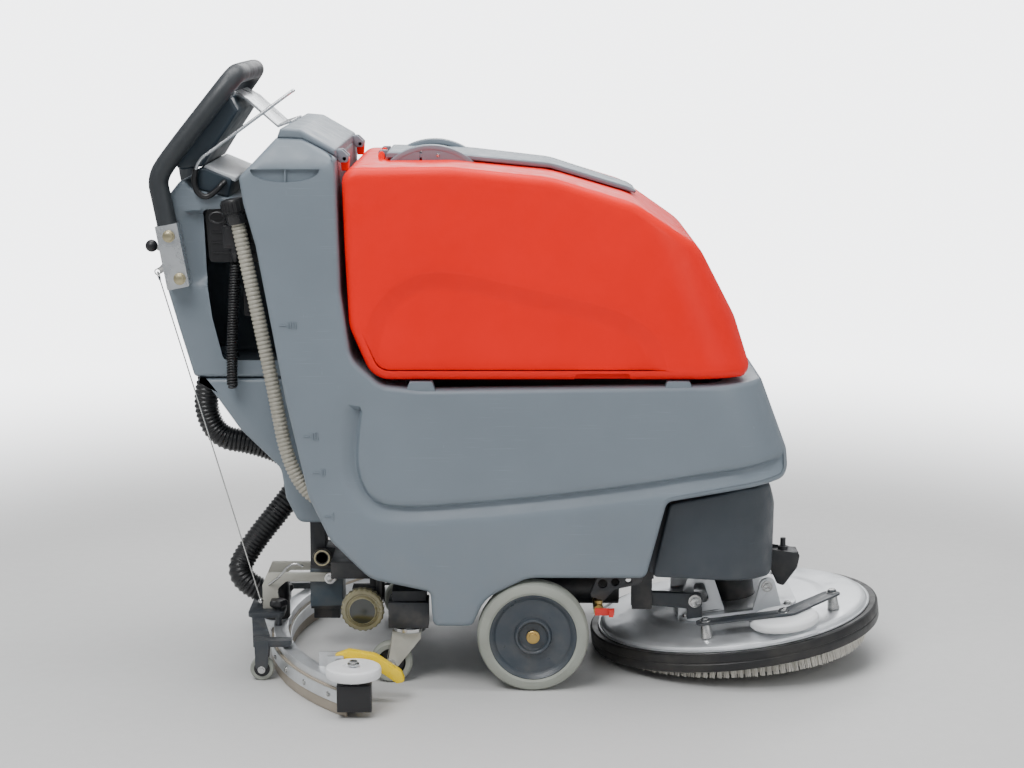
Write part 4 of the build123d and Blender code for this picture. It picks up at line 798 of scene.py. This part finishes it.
for nm, (u, v, r) in {"speed_knob": (-62, 26, 16.0), "water_knob": (-104, -22, 12.0)}.items():
    k = Shape()
    f = Fr(face.at(u, v, 2.2), face.w, face.u)
    n = 96
    rings = []
    for rr, h, flute in ((r - 1, 0, 0.0), (r, 1.2, 0.7), (r - 0.6, 9.6, 0.7), (r - 2.2, 11, 0.2),
                         (r - 3.4, 15.0, 0.0),
                         (r - 4.6, 16.0, 0.0), (0.1, 16.2, 0.0)):
        rings.append([f.at(*(c * (rr - flute * max(0.0, cos(14 * a))) for c in (cos(a), sin(a))), h)
                      for a in (2 * pi * i / n for i in range(n))])
    k.rings(rings)
    k.use(1).prism([Vector((-0.9, 2)), Vector((0.9, 2)), Vector((0.9, r - 4)), Vector((-0.9, r - 4))], f,
                   15.6, 16.8)
    piece(nm + "_form", k, BODY_OF[nm], [BLACK, PALE], replaces=[nm])
btn = Shape().lathe(Fr(face.at(40, 20, -6), face.w), [(0.1, 0), (8, 0), (8, 9.6), (7, 11), (0.1, 11.2)], 40)
piece("start_button_form", btn, "start_key", GREEN, replaces=["start_button"])

H = [(-609, -170, 806), (-617, -170, 850), (-624, -170, 885), (-600, -170, 921), (-520, -168, 1020),
     (-490, -150, 1059), (-488, -110, 1061), (-488, 0, 1061), (-488, 110, 1061), (-490, 150, 1059),
     (-520, 168, 1020), (-600, 170, 921), (-624, 170, 885), (-617, 170, 850), (-609, 170, 806)]
path = spline(H, 6.0)
bar = Shape().tube(path, 17.3, 28)
piece("handle_form", bar, "chassis", GRIP, replaces=["handle"])

# ---- hoses and cords ----------------------------------------------------------------
BR = Vector((-0.894, 0, 0.447))
BE = Vector((-453, 0, 95.5)) + BR * 37.2
route = [(-541, 65, 552), (-552, 65, 533), (-578, 65, 498), (-586, 65, 436), (-560, 65, 384), (-500, 65, 376),
         (-432, 64, 352), (-408, 60, 305), (-440, 50, 262), (-500, 28, 190), tuple(BE + BR * 50), tuple(BE)]
path = spline(route, 1.3)
radii = [21.6 + 1.2 * cos(2 * pi * k / 6) for k in range(len(path))]
hose = piece("suction_hose_form", Shape().tube(path, radii, 26), None, HOSE, replaces=["suction_hose"],
             angle=60)
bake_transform(hose)

route = [Vector((-488, -205, 836)), Vector((-434, -205, 566)), Vector((-399, -205, 352)),
         Vector((-352, -205, 330))]
path = spline(route, 2.4)
radii = [12.4 if k % 3 else 10.6 for k in range(len(path))]
piece("drain_hose_form", Shape().tube(path, radii, 22), "chassis", SPIRAL, replaces=["drain_hose"], angle=60)
dc = Shape()
ax = Vector((-54, 0, 270)).normalized()
dc.lathe(Fr((-488, -205, 836), ax), [(0.1, -26), (16.5, -26), (18, -23), (18.5, -8), (22, -5), (22, 13),
                                     (20, 17),
                                      (14, 18), (0.1, 18)], 40)
for k in range(20):
    a = 2 * pi * k / 20
    f = Fr((-488, -205, 836), ax)
    dc.rod(f.at(22 * cos(a), 22 * sin(a), -3), f.at(22 * cos(a), 22 * sin(a), 12), 1.1, 6)
dc.box(-512, -476, -192, -149, 822, 830, 1.5)
ring = [Vector((-519 + 13 * cos(2 * pi * k / 32), -196, 820 + 9 * sin(2 * pi * k / 32))) for k in range(33)]
dc.tube(ring, 1.6, 8, caps=False)
piece("drain_cap_form", dc, "chassis", HOSE, replaces=["drain_cap"])
clip = Shape()
clip.side([(-471, 838, 3), (-458, 838, 3), (-448, 785, 3), (-461, 779, 3)], -196, -189, 1.0)
clip.side([(-471, 838, 3), (-458, 838, 3), (-456, 828), (-469, 828)], -212, -190, 1.0)
piece("hose_clip", clip, "chassis", BLACK, slot="panel_black")

CY = -176.5
coil_path = spline([(-492, CY, 740), (-500, CY, 640), (-503, CY, 530), (-503, CY + 4, 526)], 3.0)
cc = Shape().coil(coil_path, 7.8, 46, 2.1)
cc.tube(spline([(-503, CY + 4, 527), (-503, CY + 12, 521), (-503, -149, 524)], 3.0), 2.2, 10)
piece("coil_cord_form", cc, "chassis", HOSE, replaces=["coil_cord"], angle=60)
pl = Shape()
pl.lathe(Fr((-492, CY, 742), (0.08, 0, 1)),
         [(0.1, 0), (5, 0), (6.5, 6), (8, 12), (11.5, 16), (11.8, 26), (0.1, 26)], 32)
for k in range(4):
    pl.lathe(Fr(Vector((-492, CY, 742)) + Vector((0.08, 0, 1)) * (2 + 3 * k), (0.08, 0, 1)),
             [(0.1, 0), (6.4 + 0.5 * k, 0), (6.4 + 0.5 * k, 1.4), (0.1, 1.4)], 24)
pl.side([(-512, 766, 3), (-484, 766, 3), (-484, 806, 3), (-512, 806, 3)], -188, -150, 2.0)
pl.side([(-508, 770, 2), (-488, 770, 2), (-488, 802, 2), (-508, 802, 2)], -190, -187, 0.8)
piece("cord_plug_form", pl, "chassis", BLACK, replaces=["cord_plug"])

hang = spline([(-392, -128, 1032), (-392, -148, 1032), (-400, -158, 1026), (-525, -158, 935),
               (-556, -158, 914),
               (-565, -158, 870), (-546, -158, 848), (-524, -158, 862), (-513, -158, 875),
               (-512, -148, 876)], 3.0)
split = next(i for i, p in enumerate(hang) if p.z < 899)
piece("cord_hanger_form", Shape().tube(hang[:split + 2], 3.0, 14), "chassis", PLATE, replaces=["cord_hanger"])
piece("hanger_sleeve", Shape().tube(hang[split:], 5.2, 16), "chassis", HOSE, slot="hose_black")

# ---- wheels -------------------------------------------------------------------------
for nm, s in (("right", -1), ("left", 1)):
    f = Fr((19.5, s * 239, 97), (0, s, 0), (1, 0, 0))
    ty = Shape()
    sec = [(76, -21), (80, -23), (86, -22.6), (93, -20), (96, -15.5), (97, -9)]
    for h in (-6, 0, 6):
        sec += [(97, h - 2.0), (96.0, h - 1.1), (96.0, h + 1.1), (97, h + 2.0)]
    sec += [(97, 9), (96, 15.5), (93, 20), (86, 22.6), (80, 23), (76, 21)]
    ty.lathe(f, sec, 128, loop=True)
    piece("tyre_form_" + nm, ty, "wheel_" + nm, TYRE, replaces=["tyre_" + nm], angle=28)
    hb = Shape()
    hb.lathe(f, [(10.1, -22), (30, -22), (30, -6), (66, -6), (70, -19), (76, -19), (76, 20), (74.6, 20.6),
                 (73, 19.4),
                 (70.5, 18), (67, 14), (65.5, 12.3), (62, 11.7), (37, 9.2), (33.2, 9.6), (32, 12), (31.2, 18),
                 (30, 19.6), (27.5, 19.6), (26.2, 18.4), (24.6, 12.4), (22.4, 11), (10.1, 11)], 96, loop=True)
    piece("hub_form_" + nm, hb, "wheel_" + nm, HUB, replaces=["hub_" + nm], angle=24)
wb = Shape()
for s in (-1, 1):
    f = Fr((19.5, s * 258, 97), (0, s, 0))
    wb.lathe(f, [(0.1, -6), (11.5, -6), (11.5, 1.0), (10.5, 1.8), (0.1, 1.8)], 40)
    wb.prism([Vector((8 * cos(pi / 3 * i + 0.3), 8 * sin(pi / 3 * i + 0.3))) for i in range(6)], f, 1.8, 4,
             0, 0.7)
piece("wheel_bolt_form", wb, "chassis", BRASS, replaces=["wheel_bolts"])

for nm, s in (("right", -1), ("left", 1)):
    y, wx = s * 200, -229
    f = Fr((wx, y, 37), (0, s, 0), (1, 0, 0))
    cw = Shape()
    cw.lathe(f, [(25, -11), (33, -11.8), (36, -8.5), (37, -4), (37, 4), (36, 8.5), (33, 11.8), (25, 11)], 72,
             loop=True)
    cw.use(1).lathe(f, [(5.1, -12), (12, -12), (14, -7), (22, -6), (25, -11), (25, 11), (22, 6), (14, 7),
                        (12, 12),
                        (5.1, 12)], 48, loop=True)
    piece("caster_tyre_" + nm, cw, f"caster_{nm}_wheel", [TYRE, BLACK], replaces=["caster_wheel_" + nm],
          angle=28)
    refine("caster_fork_" + nm, 0.6)
    cb = Shape()
    for t in (-1, 1):
        cb.hexbolt((wx, y + t * 19, 37), (0, t, 0), 5.2, 2.6, 1.0)
    cb.lathe(Fr((-197, y, 94), (0, 0, 1)), [(0.1, 0), (27, 0), (28.5, 2), (28, 7), (25, 9.4), (0.1, 9.4)], 48)
    piece("caster_hardware_" + nm, cb, "caster_" + nm, STEEL, slot="steel")

# ---- chassis ------------------------------------------------------------------------
skirt = tank([(228, 190, 8), (446, 178, 12), (452, 300, 12), (438, 345, 6), (378, 345, 20), (257, 322, 12)],
             205.0, 5.0,
             nose=False, spacing=14.0)
for i, p in enumerate(skirt.v):
    t = p.x - (452 - 110)
    if t > 0:
        h = 95 + sqrt(max(0.0, 110.0 ** 2 - min(110.0, t) ** 2))
        skirt.v[i] = Vector((p.x, p.y * h / 205.0, p.z))
hollow = Shape().prism(outline([(100, -200), (447, -200, 105), (447, 200, 105), (100, 200)]),
                       Fr((0, 0, 0), (0, 0, 1), (1, 0, 0)), 100, 312)
piece("skirt_form", carve("skirt_form", skirt, [hollow]), "chassis", CHARCOAL, replaces=["front_skirt"],
      weld=False)
refine("chassis_frame", 0.8)
refine("transaxle", 0.8)
refine("batteries", 3.0)
bt = Shape()
for s in (-1, 1):
    for x in (-180, 5):
        for i in range(3):
            bt.lathe(Fr((x + 34 + 55 * i, s * 95 + 30, 442), (0, 0, 1)),
                     [(0.1, 0), (13, 0), (13, 4), (11, 6), (0.1, 6)], 28)
piece("battery_caps", bt, "chassis", YELLOW, slot="latch_yellow")
leads = Shape()
leads.tube(spline([(-150, 45, 452), (-80, 40, 478), (-40, -10, 470), (-150, -145, 453)], 6), 6.0, 12)
leads.tube(spline([(-32, 45, 453), (0, 30, 476), (35, 45, 453)], 6), 6.0, 12)
leads.tube(spline([(-32, -145, 453), (0, -130, 476), (35, -145, 453)], 6), 6.0, 12)
piece("battery_leads", leads, "chassis", HOSE, slot="hose_black")
refine("console_strap", 0.5)
refine("handle_brackets", 0)
hw = Shape()
for s in (-1, 1):
    for x, z in ((-604, 787), (-587, 714)):
        hw.lathe(Fr((x, s * 188, z), (0, s, 0)),
                 [(0.1, 0), (10.5, 0), (10.5, 1.2), (8.4, 2.0), (7.6, 4.2), (5, 5.4),
                                                 (0.1, 5.8)], 32)
piece("handle_bolts", hw, "chassis", YELLOW_ZINC, slot="brass")
refine("lift_lever", 0.5)
ball = Shape().lathe(Fr((-648.1, -100, 750), (0, 0, 1)),
                     [(max(0.1, 11 * cos(radians(a))), 11 + 11 * sin(radians(a))) for a in range(-90, 91,
                                                            9)], 36)
piece("lever_ball_form", ball, "lever", BLACK, replaces=["lever_ball"], angle=60)
refine("lift_cable", 0)
fh = Shape()
FX, FZ_ = -279.0, 131.0
f = Fr((FX, -166, FZ_), (0, -1, 0), (1, 0, 0))
fh.lathe(f, [(12.2, 0), (28, 0), (31, 3), (31, 20), (28, 24), (12.2, 24)], 56)
fh.rod((FX, -166, FZ_), (FX, -204, FZ_), 11.9, 32)
fh.rod((FX + 30, -178, FZ_ + 8), (FX + 30, -178, FZ_ + 48), 8, 20, 1.0)
fh.box(FX + 10, FX + 36, -186, -170, FZ_ + 2, FZ_ + 18, 1.5)
piece("filter_head_form", fh, "chassis", BLACK, replaces=["filter_head"])
fc = Shape()
f = Fr((FX, -191, FZ_), (0, -1, 0), (1, 0, 0))
n = 144
sec = [(12.3, 0, 0), (35, 0, 0), (38.6, 2, 1), (38.6, 9, 1), (38.6, 15, 1), (35.5, 18.4, .6), (30, 19, 0),
       (28.5, 17, 0),
       (26.5, 17, 0), (25.5, 20, 0), (23.6, 23, 0)]
fc.rings([[f.at(cos(a) * (r - 1.6 * k * (0.5 + 0.5 * cos(24 * a))),
                sin(a) * (r - 1.6 * k * (0.5 + 0.5 * cos(24 * a))), h)
           for a in (2 * pi * i / n for i in range(n))] for r, h, k in sec + [(0.1, 23.6, 0)]], caps=True)
piece("filter_cap_form", fc, "filter_cover", SMOKED, replaces=["filter_cap"], angle=30)
ln = Shape().lathe(Fr((FX, -213.5, FZ_), (0, -1, 0)),
                   [(0.1, 0), (23, 0), (22, 1.0), (16, 1.3), (8, 1.5), (0.1, 1.5)], 48)
piece("filter_lens", ln, "filter_cover", LENS, slot="filter_clear")
refine("drain_valve", 0.5, BRASS)
vl = Shape()
vl.box(127, 161, -242.5, -240, 131.5, 144.5, 0.8)
vl.box(151, 159, -254, -240, 131.5, 144.5, 0.8)
piece("valve_lever", vl, "chassis", RED_LEVER, slot="tank_red")

# ---- brush deck ---------------------------------------------------------------------
T, B = radians(7.2), radians(4.2)
DECK = Fr((391, 0, 79), (-sin(T), 0, cos(T)), (cos(T), 0, sin(T)))
BRUSH = Fr((397, 0, 18.3), (-sin(B), 0, cos(B)), (cos(B), 0, sin(B)))
cv = Shape().lathe(DECK, [(34, 11), (150, 11), (172, 6), (225, 3), (240, -1), (243, -7), (246.5, -7),
                          (247, -5.5),
                          (246.4, -2.4), (244.5, 1.2), (241, 3.6), (236, 5.2), (228, 6.8), (200, 8.6),
                          (180, 9.6),
                          (174, 10.1), (170, 10.9), (160, 13.6), (155, 14.8), (150, 15), (34, 15)], 160,
                          loop=True)
piece("cover_form", cv, "deck", ZINC, replaces=["deck_cover"], angle=22)
rg = Shape().lathe(DECK, [(246, -11), (246, -7.4), (250, -6.6), (257, -5.4), (262, -5.2), (265, -6.8),
                          (266, -9.5),
                          (266, -20), (265.2, -21), (265.2, -23), (266, -24), (266, -34), (264.6, -37.6),
                          (260, -38),
                          (258, -34), (258, -12)], 160, loop=True)
rg.use(1).lathe(DECK, [(247.2, -7.2), (249.8, -7.0), (251.6, -5.2), (251.2, -3.4), (249.4, -2.6),
                       (247.3, -3.2)], 160,
                loop=True)
piece("ring_form", rg, "deck", [RUBBER, CAST], replaces=["deck_ring"], angle=28)
refine("deck_arms", 1.0)
refine("deck_casting", 1.4)
refine("roller_arm", 0.7)
refine("deck_roller", 1.6)
mt = Shape()
mt.lathe(DECK, [(0.1, -1), (12, -1), (12, 15.4), (43, 15.4), (43, 66), (42.4, 68), (40, 72), (40, 76),
                (42, 78), (42, 90),
                (40, 92), (40, 97), (43, 100), (43, 178), (41, 186), (36, 192), (0.1, 192)], 72)
for k in range(18):
    a = 2 * pi * k / 18
    mt.rod(DECK.at(43 * cos(a), 43 * sin(a), 106), DECK.at(43 * cos(a), 43 * sin(a), 174), 1.6, 8)
piece("motor_form", mt, "deck", FRAME, replaces=["brush_motor"], angle=30)
mb = Shape()
mb.lathe(DECK, [(42.2, 77), (43.6, 77), (43.6, 91), (42.2, 91)], 72, loop=True)
for a in (200, 235, 270, 305, 340):
    c, s_ = cos(radians(a)), sin(radians(a))
    mb.hexbolt(DECK.at(43 * c, 43 * s_, 84), DECK.u * c + DECK.v * s_, 4, 3, 1.0)
piece("motor_band", mb, "deck", YELLOW_ZINC, slot="brass")
dh = Shape()
for u, v, h, r in ((-64, -200, 38.5, 6.5), (172, -118, 38.5, 6.5), (74, -201, 38.5, 7.5)):
    dh.hexbolt(DECK.at(u, v, h), DECK.w, r, 5, 1.4)
for u, v in ((-64, -200), (172, -118)):
    dh.lathe(Fr(DECK.at(u, v, 9), DECK.w), [(7.2, 0), (11, 0), (10, 6), (8.5, 22), (7.2, 25)], 24, loop=True)
for s in (-1, 1):
    dh.hexbolt((310, s * 131.5, 126), (0, s, 0), 8, 5, 2.0)
    dh.hexbolt((440, s * 120, 150), (0, s, 0), 7, 5, 1.6)
    for u in (-92, 92):
        dh.hexbolt(DECK.at(u, s * 104, 22.6), DECK.w, 6, 4, 1.4)
piece("deck_bolts", dh, "deck", STEEL, slot="steel")

bp = Shape().lathe(BRUSH, [(0.1, 31), (234, 31), (234, 38), (230, 40), (70, 40), (28, 47), (20, 51),
                           (0.1, 51)], 96)
piece("brush_plate_form", bp, "brush", BLACK, replaces=["brush_plate"])
tufts = Shape()


def tuft(r0, a, fibres, splay, width):
    """A bundle of nylon fibres that leans outwards a little towards its tips."""
    base = BRUSH.at(r0 * cos(a), r0 * sin(a), 33)
    out = BRUSH.u * cos(a) + BRUSH.v * sin(a)
    across = BRUSH.w.cross(out)
    verts, faces = [], []
    for k in range(fibres):
        q = 2 * pi * k / fibres + rng.uniform(-0.3, 0.3)
        rad = width * (0.35 + 0.65 * (k % 2)) if fibres > 3 else width * 0.6
        d0 = out * (rad * 0.55 * cos(q)) + across * (rad * 0.55 * sin(q))
        tip = out * (splay + rad * cos(q)) + across * (rad * sin(q) + rng.uniform(-0.6, 0.6))
        low = 33 - 0.2 - rng.uniform(0.0, 1.4)
        w = width * (0.30 if fibres > 5 else 0.42)
        n0 = len(verts)
        for c, k2, hh in ((d0, w, 0.0), (tip, w * 0.82, low)):
            for i in range(4):
                g = pi / 2 * i + q
                verts.append(base + c + out * (k2 * cos(g)) + across * (k2 * sin(g)) - BRUSH.w * hh)
        faces += [(n0 + i, n0 + (i + 1) % 4, n0 + 4 + (i + 1) % 4, n0 + 4 + i) for i in range(4)]
        faces += [(n0 + 3, n0 + 2, n0 + 1, n0), (n0 + 4, n0 + 5, n0 + 6, n0 + 7)]
    tufts.add(verts, faces)


for r0, count, fibres, splay, width in ((229, 118, 9, 7.0, 4.4), (213, 104, 7, 4.0, 4.4),
                                        (196, 84, 4, 3.0, 5),
                                        (176, 66, 3, 2.0, 6), (152, 54, 3, 1.5, 6), (126, 44, 3, 1.0, 6),
                                        (102, 36, 4, -1.0, 5)):
    for i in range(count):
        tuft(r0, 2 * pi * (i + 0.5 * (r0 % 2)) / count, fibres, splay, width)
piece("bristle_form", tufts, "brush", BRISTLE, replaces=["bristles"], weld=False, angle=50)

# ---- squeegee -----------------------------------------------------------------------
arm = refine("squeegee_arm", 0.7)
arm.data.materials.append(ARM)
for f in arm.data.polygons:                                # the bar is cream, what hangs from it is dark
    f.material_index = int(f.center.z < 0.118)
refine("squeegee_body", 0.7)
refine("squeegee_blades", 0.3)
refine("squeegee_latch", 2.2)
refine("suction_elbow", 0)
for nm, s in (("right", -1), ("left", 1)):
    er = Shape().lathe(Fr((-284, s * 372, 63), (0, 0, 1)),
                       [(6.1, 0), (42, 0), (45.5, 1.5), (47, 5), (47, 13), (45.6, 17), (42, 19), (18, 19),
                        (16, 17.4),
                        (6.1, 17.4)], 80, loop=True)
    piece("end_roller_form_" + nm, er, "end_roller_" + nm[0], WHITE, replaces=["end_roller_" + nm], angle=28)
    a = radians(s * 18.5)
    x, y = 110 - 600 * cos(a), 600 * sin(a)
    sr = Shape().lathe(Fr((x, y, 21), (0, 1, 0)),
                       [(14, -7), (19, -8), (21, -5.5), (21, 5.5), (19, 8), (14, 7)], 56,
                       loop=True)
    sr.use(1).lathe(Fr((x, y, 21), (0, 1, 0)), [(4.1, -8), (10, -8), (14, -7), (14, 7), (10, 8), (4.1, 8)],
                    40, loop=True)
    piece("support_roller_form_" + nm, sr, "support_roller_" + nm[0], [TYRE, BLACK],
          replaces=["support_roller_" + nm], angle=28)
sq = Shape()
for s in (-1, 1):
    a = radians(s * 18.5)
    x, y = 110 - 600 * cos(a), 600 * sin(a)
    for t in (-1, 1):
        sq.hexbolt((x, y + t * 13.5, 21), (0, t, 0), 4.6, 2.4, 1.0)
    sq.hexbolt((-284, s * 372, 85), (0, 0, 1), 7, 4.6, 1.6)
for deg in range(-40, 41, 8):
    a = radians(deg)
    out = Vector((-cos(a), sin(a), 0))
    sq.hexbolt(Vector((110, 0, 31)) + out * 571, out, 3.6, 2.4, 1.2)
sq.hexbolt((-312, -326, 74), (0, -1, 0), 5, 3, 1.2)
sq.hexbolt((-349, -50, 146), (0, -1, 0), 7, 4, 1.4)
sq.hexbolt((-349, 50, 146), (0, 1, 0), 7, 4, 1.4)
piece("squeegee_bolts", sq, "squeegee", STEEL, slot="steel")
kn = Shape()
for y in (-52, 52):
    f = Fr((-444, y, 94), (0, 0, 1))
    n = 72
    rings = []
    for rr, h, k in ((5, -6, 0), (8, -4, 0), (15, 0, 1), (17.5, 3, 1), (17.5, 9, 1), (15, 12.5, 1),
                     (6, 13.4, 0), (0.1, 13.6, 0)):
        rings.append([f.at(*(c * (rr - k * 3.6 * (0.5 - 0.5 * cos(5 * a))) for c in (cos(a), sin(a))), h)
                      for a in (2 * pi * i / n for i in range(n))])
    kn.rings(rings)
piece("squeegee_knobs", kn, "squeegee", BLACK, slot="panel_black")
ed = Shape()
for s in (-1, 1):                                          # end blocks of the squeegee
    ed.box(-310, -252, *sorted((s * 382, s * 410)), 12, 58, 3.0)
piece("squeegee_ends", ed, "squeegee", BLACK, slot="panel_black")
rb = Shape()
rb.side([(-386.8, 160, 3), (-327, 160, 3), (-327, 90, 3), (-387, 88, 3)], -35, 35, 2.0)
piece("pivot_block", rb, "chassis", BLUE_STEEL, slot="arm_grey")
ey = Shape()
pts = [Vector((-363 + 13.4 * cos(2 * pi * k / 40), -47.5,
               184 + 13.4 * sin(2 * pi * k / 40))) for k in range(40)]
ey.rings([[p + (Vector((cos(a), 0, sin(a))) * cos(q) + Vector((0, 1, 0)) * sin(q)) * 3.9
           for q in (2 * pi * j / 12 for j in range(12))] for p,
           a in ((pts[k], 2 * pi * k / 40) for k in range(40))],
         loop=True)
piece("eye_ring", ey, "chassis", YELLOW_ZINC, slot="brass", angle=60)
hk = Shape()
hk.tube(spline([(-462, -44, 132), (-440, -62, 150), (-425, -66, 172), (-408, -66, 180), (-396, -66, 172)],
               3), 2.2, 12)
piece("squeegee_hook", hk, "squeegee", STEEL, slot="steel")

# ---- stage and light ----------------------------------------------------------------
def flat_piece(name, rings, mat):
    """A round sheet about the origin from (radius, height) rings."""
    verts = [(r * cos(2 * pi * i / 96), r * sin(2 * pi * i / 96), z) for r, z in rings for i in range(96)]
    faces = [(96 * k + i, 96 * k + (i + 1) % 96, 96 * k + 96 + (i + 1) % 96, 96 * k + 96 + i)
             for k in range(len(rings) - 1) for i in range(96)]
    me = bpy.data.meshes.new(name)
    me.from_pydata(verts, [], faces)
    me.materials.append(mat)
    ob = bpy.data.objects.new(name, me)
    bpy.context.scene.collection.objects.link(ob)
    return ob


floor_mat = surface("floor_mat", (0.60, 0.60, 0.59), 0.55, vary=0.03, scale=1.2, grain=0.12, grain_scale=260,
                    cells=0.04, cell_scale=420)
flat_piece("floor", [(0.001, 0), (1.2, 0), (12, 0), (60, 0)], floor_mat)
glow = bpy.data.materials.new("backdrop_mat")
glow.use_nodes = True
gt = glow.node_tree
gt.nodes.clear()
spot = node(gt, "ShaderNodeTexCoord", {}).outputs["Object"]
away = node(gt, "ShaderNodeVectorMath", {0: spot}, operation="LENGTH").outputs["Value"]
fade = node(gt, "ShaderNodeMapRange", {"Value": away, "From Min": CLEAR_FROM, "From Max": WHITE_FROM},
            interpolation_type="SMOOTHSTEP").outputs[0]
lit = node(gt, "ShaderNodeEmission", {"Color": (0.97, 0.98, 1.0, 1.0), "Strength": BACKDROP_GLOW}).outputs[0]
see = node(gt, "ShaderNodeBsdfTransparent", {}).outputs[0]
both = node(gt, "ShaderNodeMixShader", {0: fade, 1: see, 2: lit}).outputs[0]
node(gt, "ShaderNodeOutputMaterial", {"Surface": both})
back = flat_piece("backdrop", [(1.2, 0.0004), (4, 0.0004), (9, 0.0004), (14, 0.6), (20, 3.0), (26, 8.0),
                               (30, 16.0), (32, 30.0)],
                  glow)
back.visible_diffuse = back.visible_glossy = back.visible_transmission = back.visible_shadow = False

world = bpy.data.worlds.new("world")
bpy.context.scene.world = world
world.use_nodes = True
world.node_tree.nodes["Background"].inputs[0].default_value = (0.93, 0.96, 1.0, 1.0)
world.node_tree.nodes["Background"].inputs[1].default_value = WORLD_LIGHT


def lamp(name, at, to, size, power, tint=(1, 1, 1)):
    data = bpy.data.lights.new(name, "AREA")
    data.shape, data.size, data.size_y, data.energy, data.color = "RECTANGLE", size[0], size[1], power, tint
    ob = bpy.data.objects.new(name, data)
    ob.location = at
    ob.rotation_euler = (Vector(to) - Vector(at)).to_track_quat("-Z", "Y").to_euler()
    bpy.context.scene.collection.objects.link(ob)


lamp("key", (-1.4, -2.4, 3.6), (0, 0, 0.5), (2.2, 1.6), 115)
lamp("fill", (2.6, -2.4, 1.8), (0, 0, 0.5), (2.0, 1.6), 22)
lamp("top", (0.0, 0.2, 3.4), (0, 0, 0.5), (3.0, 2.0), 110)
lamp("back", (0.5, 3.2, 2.2), (0, 0, 0.6), (2.4, 1.4), 40)
